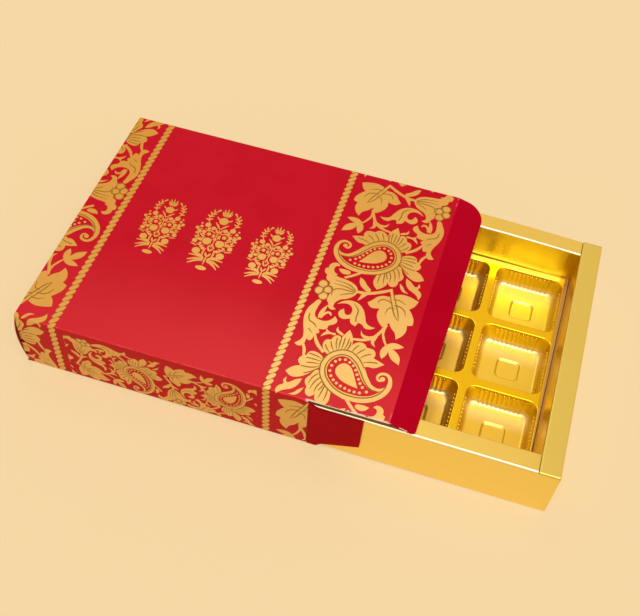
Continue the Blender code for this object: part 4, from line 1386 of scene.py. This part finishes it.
def flutedInsert(plan):
    middle = plan["middle"]
    rings = cavityRings(plan)
    bm = bmesh.new()
    rims = [edge for centre in plan["centres"] for edge in sinkCavity(bm, centre, rings)]
    size = Matrix.Diagonal((plan["deckX"], plan["deckY"], 1, 1))
    corners = bmesh.ops.create_grid(
        bm, x_segments=1, y_segments=1, size=1.0,
        matrix=Matrix.Translation((middle.x, middle.y, plan["top"])) @ size)["verts"]
    outer = edgesOf(corners)
    bmesh.ops.delete(bm, geom=list(corners[0].link_faces), context="FACES_ONLY")
    bmesh.ops.triangle_fill(bm, use_beauty=True, use_dissolve=False, edges=outer + rims)
    skirt(bm, outer, plan)
    lookUp(bm)
    bmesh.ops.transform(bm, verts=bm.verts[:], matrix=trayTurn)
    materials = [formedSheet(plan), flangeFoil]
    piece = finishPiece("flutedInsert", bm, materials, "tray", ["insert_tray"], sharp=60)
    addBoard(piece, insertLook["thick"])


def ribHeads(plan):
    # a small knob at the top of every rib, its paler gold a painted highlight
    look = insertLook
    drop = look["ribTop"] + look["headDrop"]
    inset = look["draft"] * drop / plan["depth"]
    heads = bmesh.new()
    for x, y, z in plan["centres"]:
        for quarter in range(4):
            wide = plan["width" if quarter % 2 == 0 else "length"] / 2 - inset
            for rib in range(look["ribCount"]):
                along = look["ribPitch"] * (rib + 0.5 - look["ribCount"] / 2)
                spot = complex(along, look["headInset"] - wide) * 1j ** quarter
                place = Matrix.Translation((x + spot.real, y + spot.imag, z - drop))
                bmesh.ops.create_icosphere(
                    heads, subdivisions=2, radius=look["headRadius"], matrix=trayTurn @ place)
    finishPiece("ribHeads", heads, [glintFoil], "tray", sharp=180)


print("forming the insert")
insertSizes = insertPlan()
flutedInsert(insertSizes)
ribHeads(insertSizes)

# Room

roomLook = {
    "floor": srgb(245, 217, 164), "floorDeep": srgb(243, 216, 160), "floorSeen": srgb(248, 216, 166),
    "floorSize": 3.0, "floorDrop": 0.1 * mm, "shadowless": 0.6,
    "backdrop": srgb(245, 218, 165), "ambient": (1.0, 0.98, 0.95, 1.0), "ambientLevel": 0.45,
    "lamps": (("key", 1.66, 50, (0.25, -0.41, 1.0)), ("rim", 0.14, 18, (-0.28, 0.52, 1.0))),
    "lens": 55.158, "cameraPlace": (115.09, -266.22, 361.41), "cameraTurn": (37.6437, -2.7264, 17.2656),
}


def layFloor():
    bm = bmesh.new()
    bmesh.ops.create_grid(bm, x_segments=1, y_segments=1, size=roomLook["floorSize"])
    bmesh.ops.translate(bm, verts=bm.verts[:], vec=(0, 0, -roomLook["floorDrop"]))
    mesh = bpy.data.meshes.new("floor")
    bm.to_mesh(mesh)
    bm.free()
    floor = bpy.data.objects.new("floor", mesh)
    scene.collection.objects.link(floor)
    finish = Finish("cream floor", Roughness=0.7)
    finish.set("Base Color", finish.mix(finish.noise(6, 2), roomLook["floor"], roomLook["floorDeep"]))
    # the photo's floor is nearly shadowless: part of what the camera sees there is plain colour
    plain = finish.node("ShaderNodeEmission", None, {"Color": roomLook["floorSeen"], "Strength": 1.0})
    lit = Wire(finish, finish.shader.outputs[0])
    share = finish.backgroundRays() * roomLook["shadowless"]
    both = finish.node("ShaderNodeMixShader", None, {0: share, 1: lit, 2: plain})
    finish.feed(finish.tree.nodes["Material Output"].inputs["Surface"], both)
    mesh.materials.append(finish.material)


def lightRoom():
    # a plain backdrop, a soft ambient light and two broad lamps
    scene.world = bpy.data.worlds.new("soft room")
    scene.world.use_nodes = True
    shading = Shading(scene.world.node_tree)
    shading.tree.nodes.clear()
    ambient = {"Color": roomLook["ambient"], "Strength": roomLook["ambientLevel"]}
    light = shading.node("ShaderNodeBackground", None, ambient)
    seen = shading.node("ShaderNodeBackground", None, {"Color": roomLook["backdrop"]})
    choice = shading.node("ShaderNodeMixShader", None, {0: shading.backgroundRays(), 1: light, 2: seen})
    output = shading.tree.nodes.new("ShaderNodeOutputWorld")
    shading.feed(output.inputs["Surface"], choice)
    for name, level, spread, towards in roomLook["lamps"]:
        light = bpy.data.lights.new(name, "SUN")
        light.energy = level
        light.angle = math.radians(spread)
        lamp = bpy.data.objects.new(name, light)
        lamp.rotation_euler = Vector(towards).to_track_quat("Z", "Y").to_euler()
        scene.collection.objects.link(lamp)


def setCamera():
    lens = bpy.data.cameras.new("camera")
    lens.sensor_width = 36.0
    lens.lens = roomLook["lens"]
    lens.clip_start = 0.01
    camera = bpy.data.objects.new("camera", lens)
    camera.location = [part * mm for part in roomLook["cameraPlace"]]
    camera.rotation_euler = [math.radians(angle) for angle in roomLook["cameraTurn"]]
    scene.collection.objects.link(camera)
    scene.camera = camera


print("setting the room")
layFloor()
lightRoom()
setCamera()
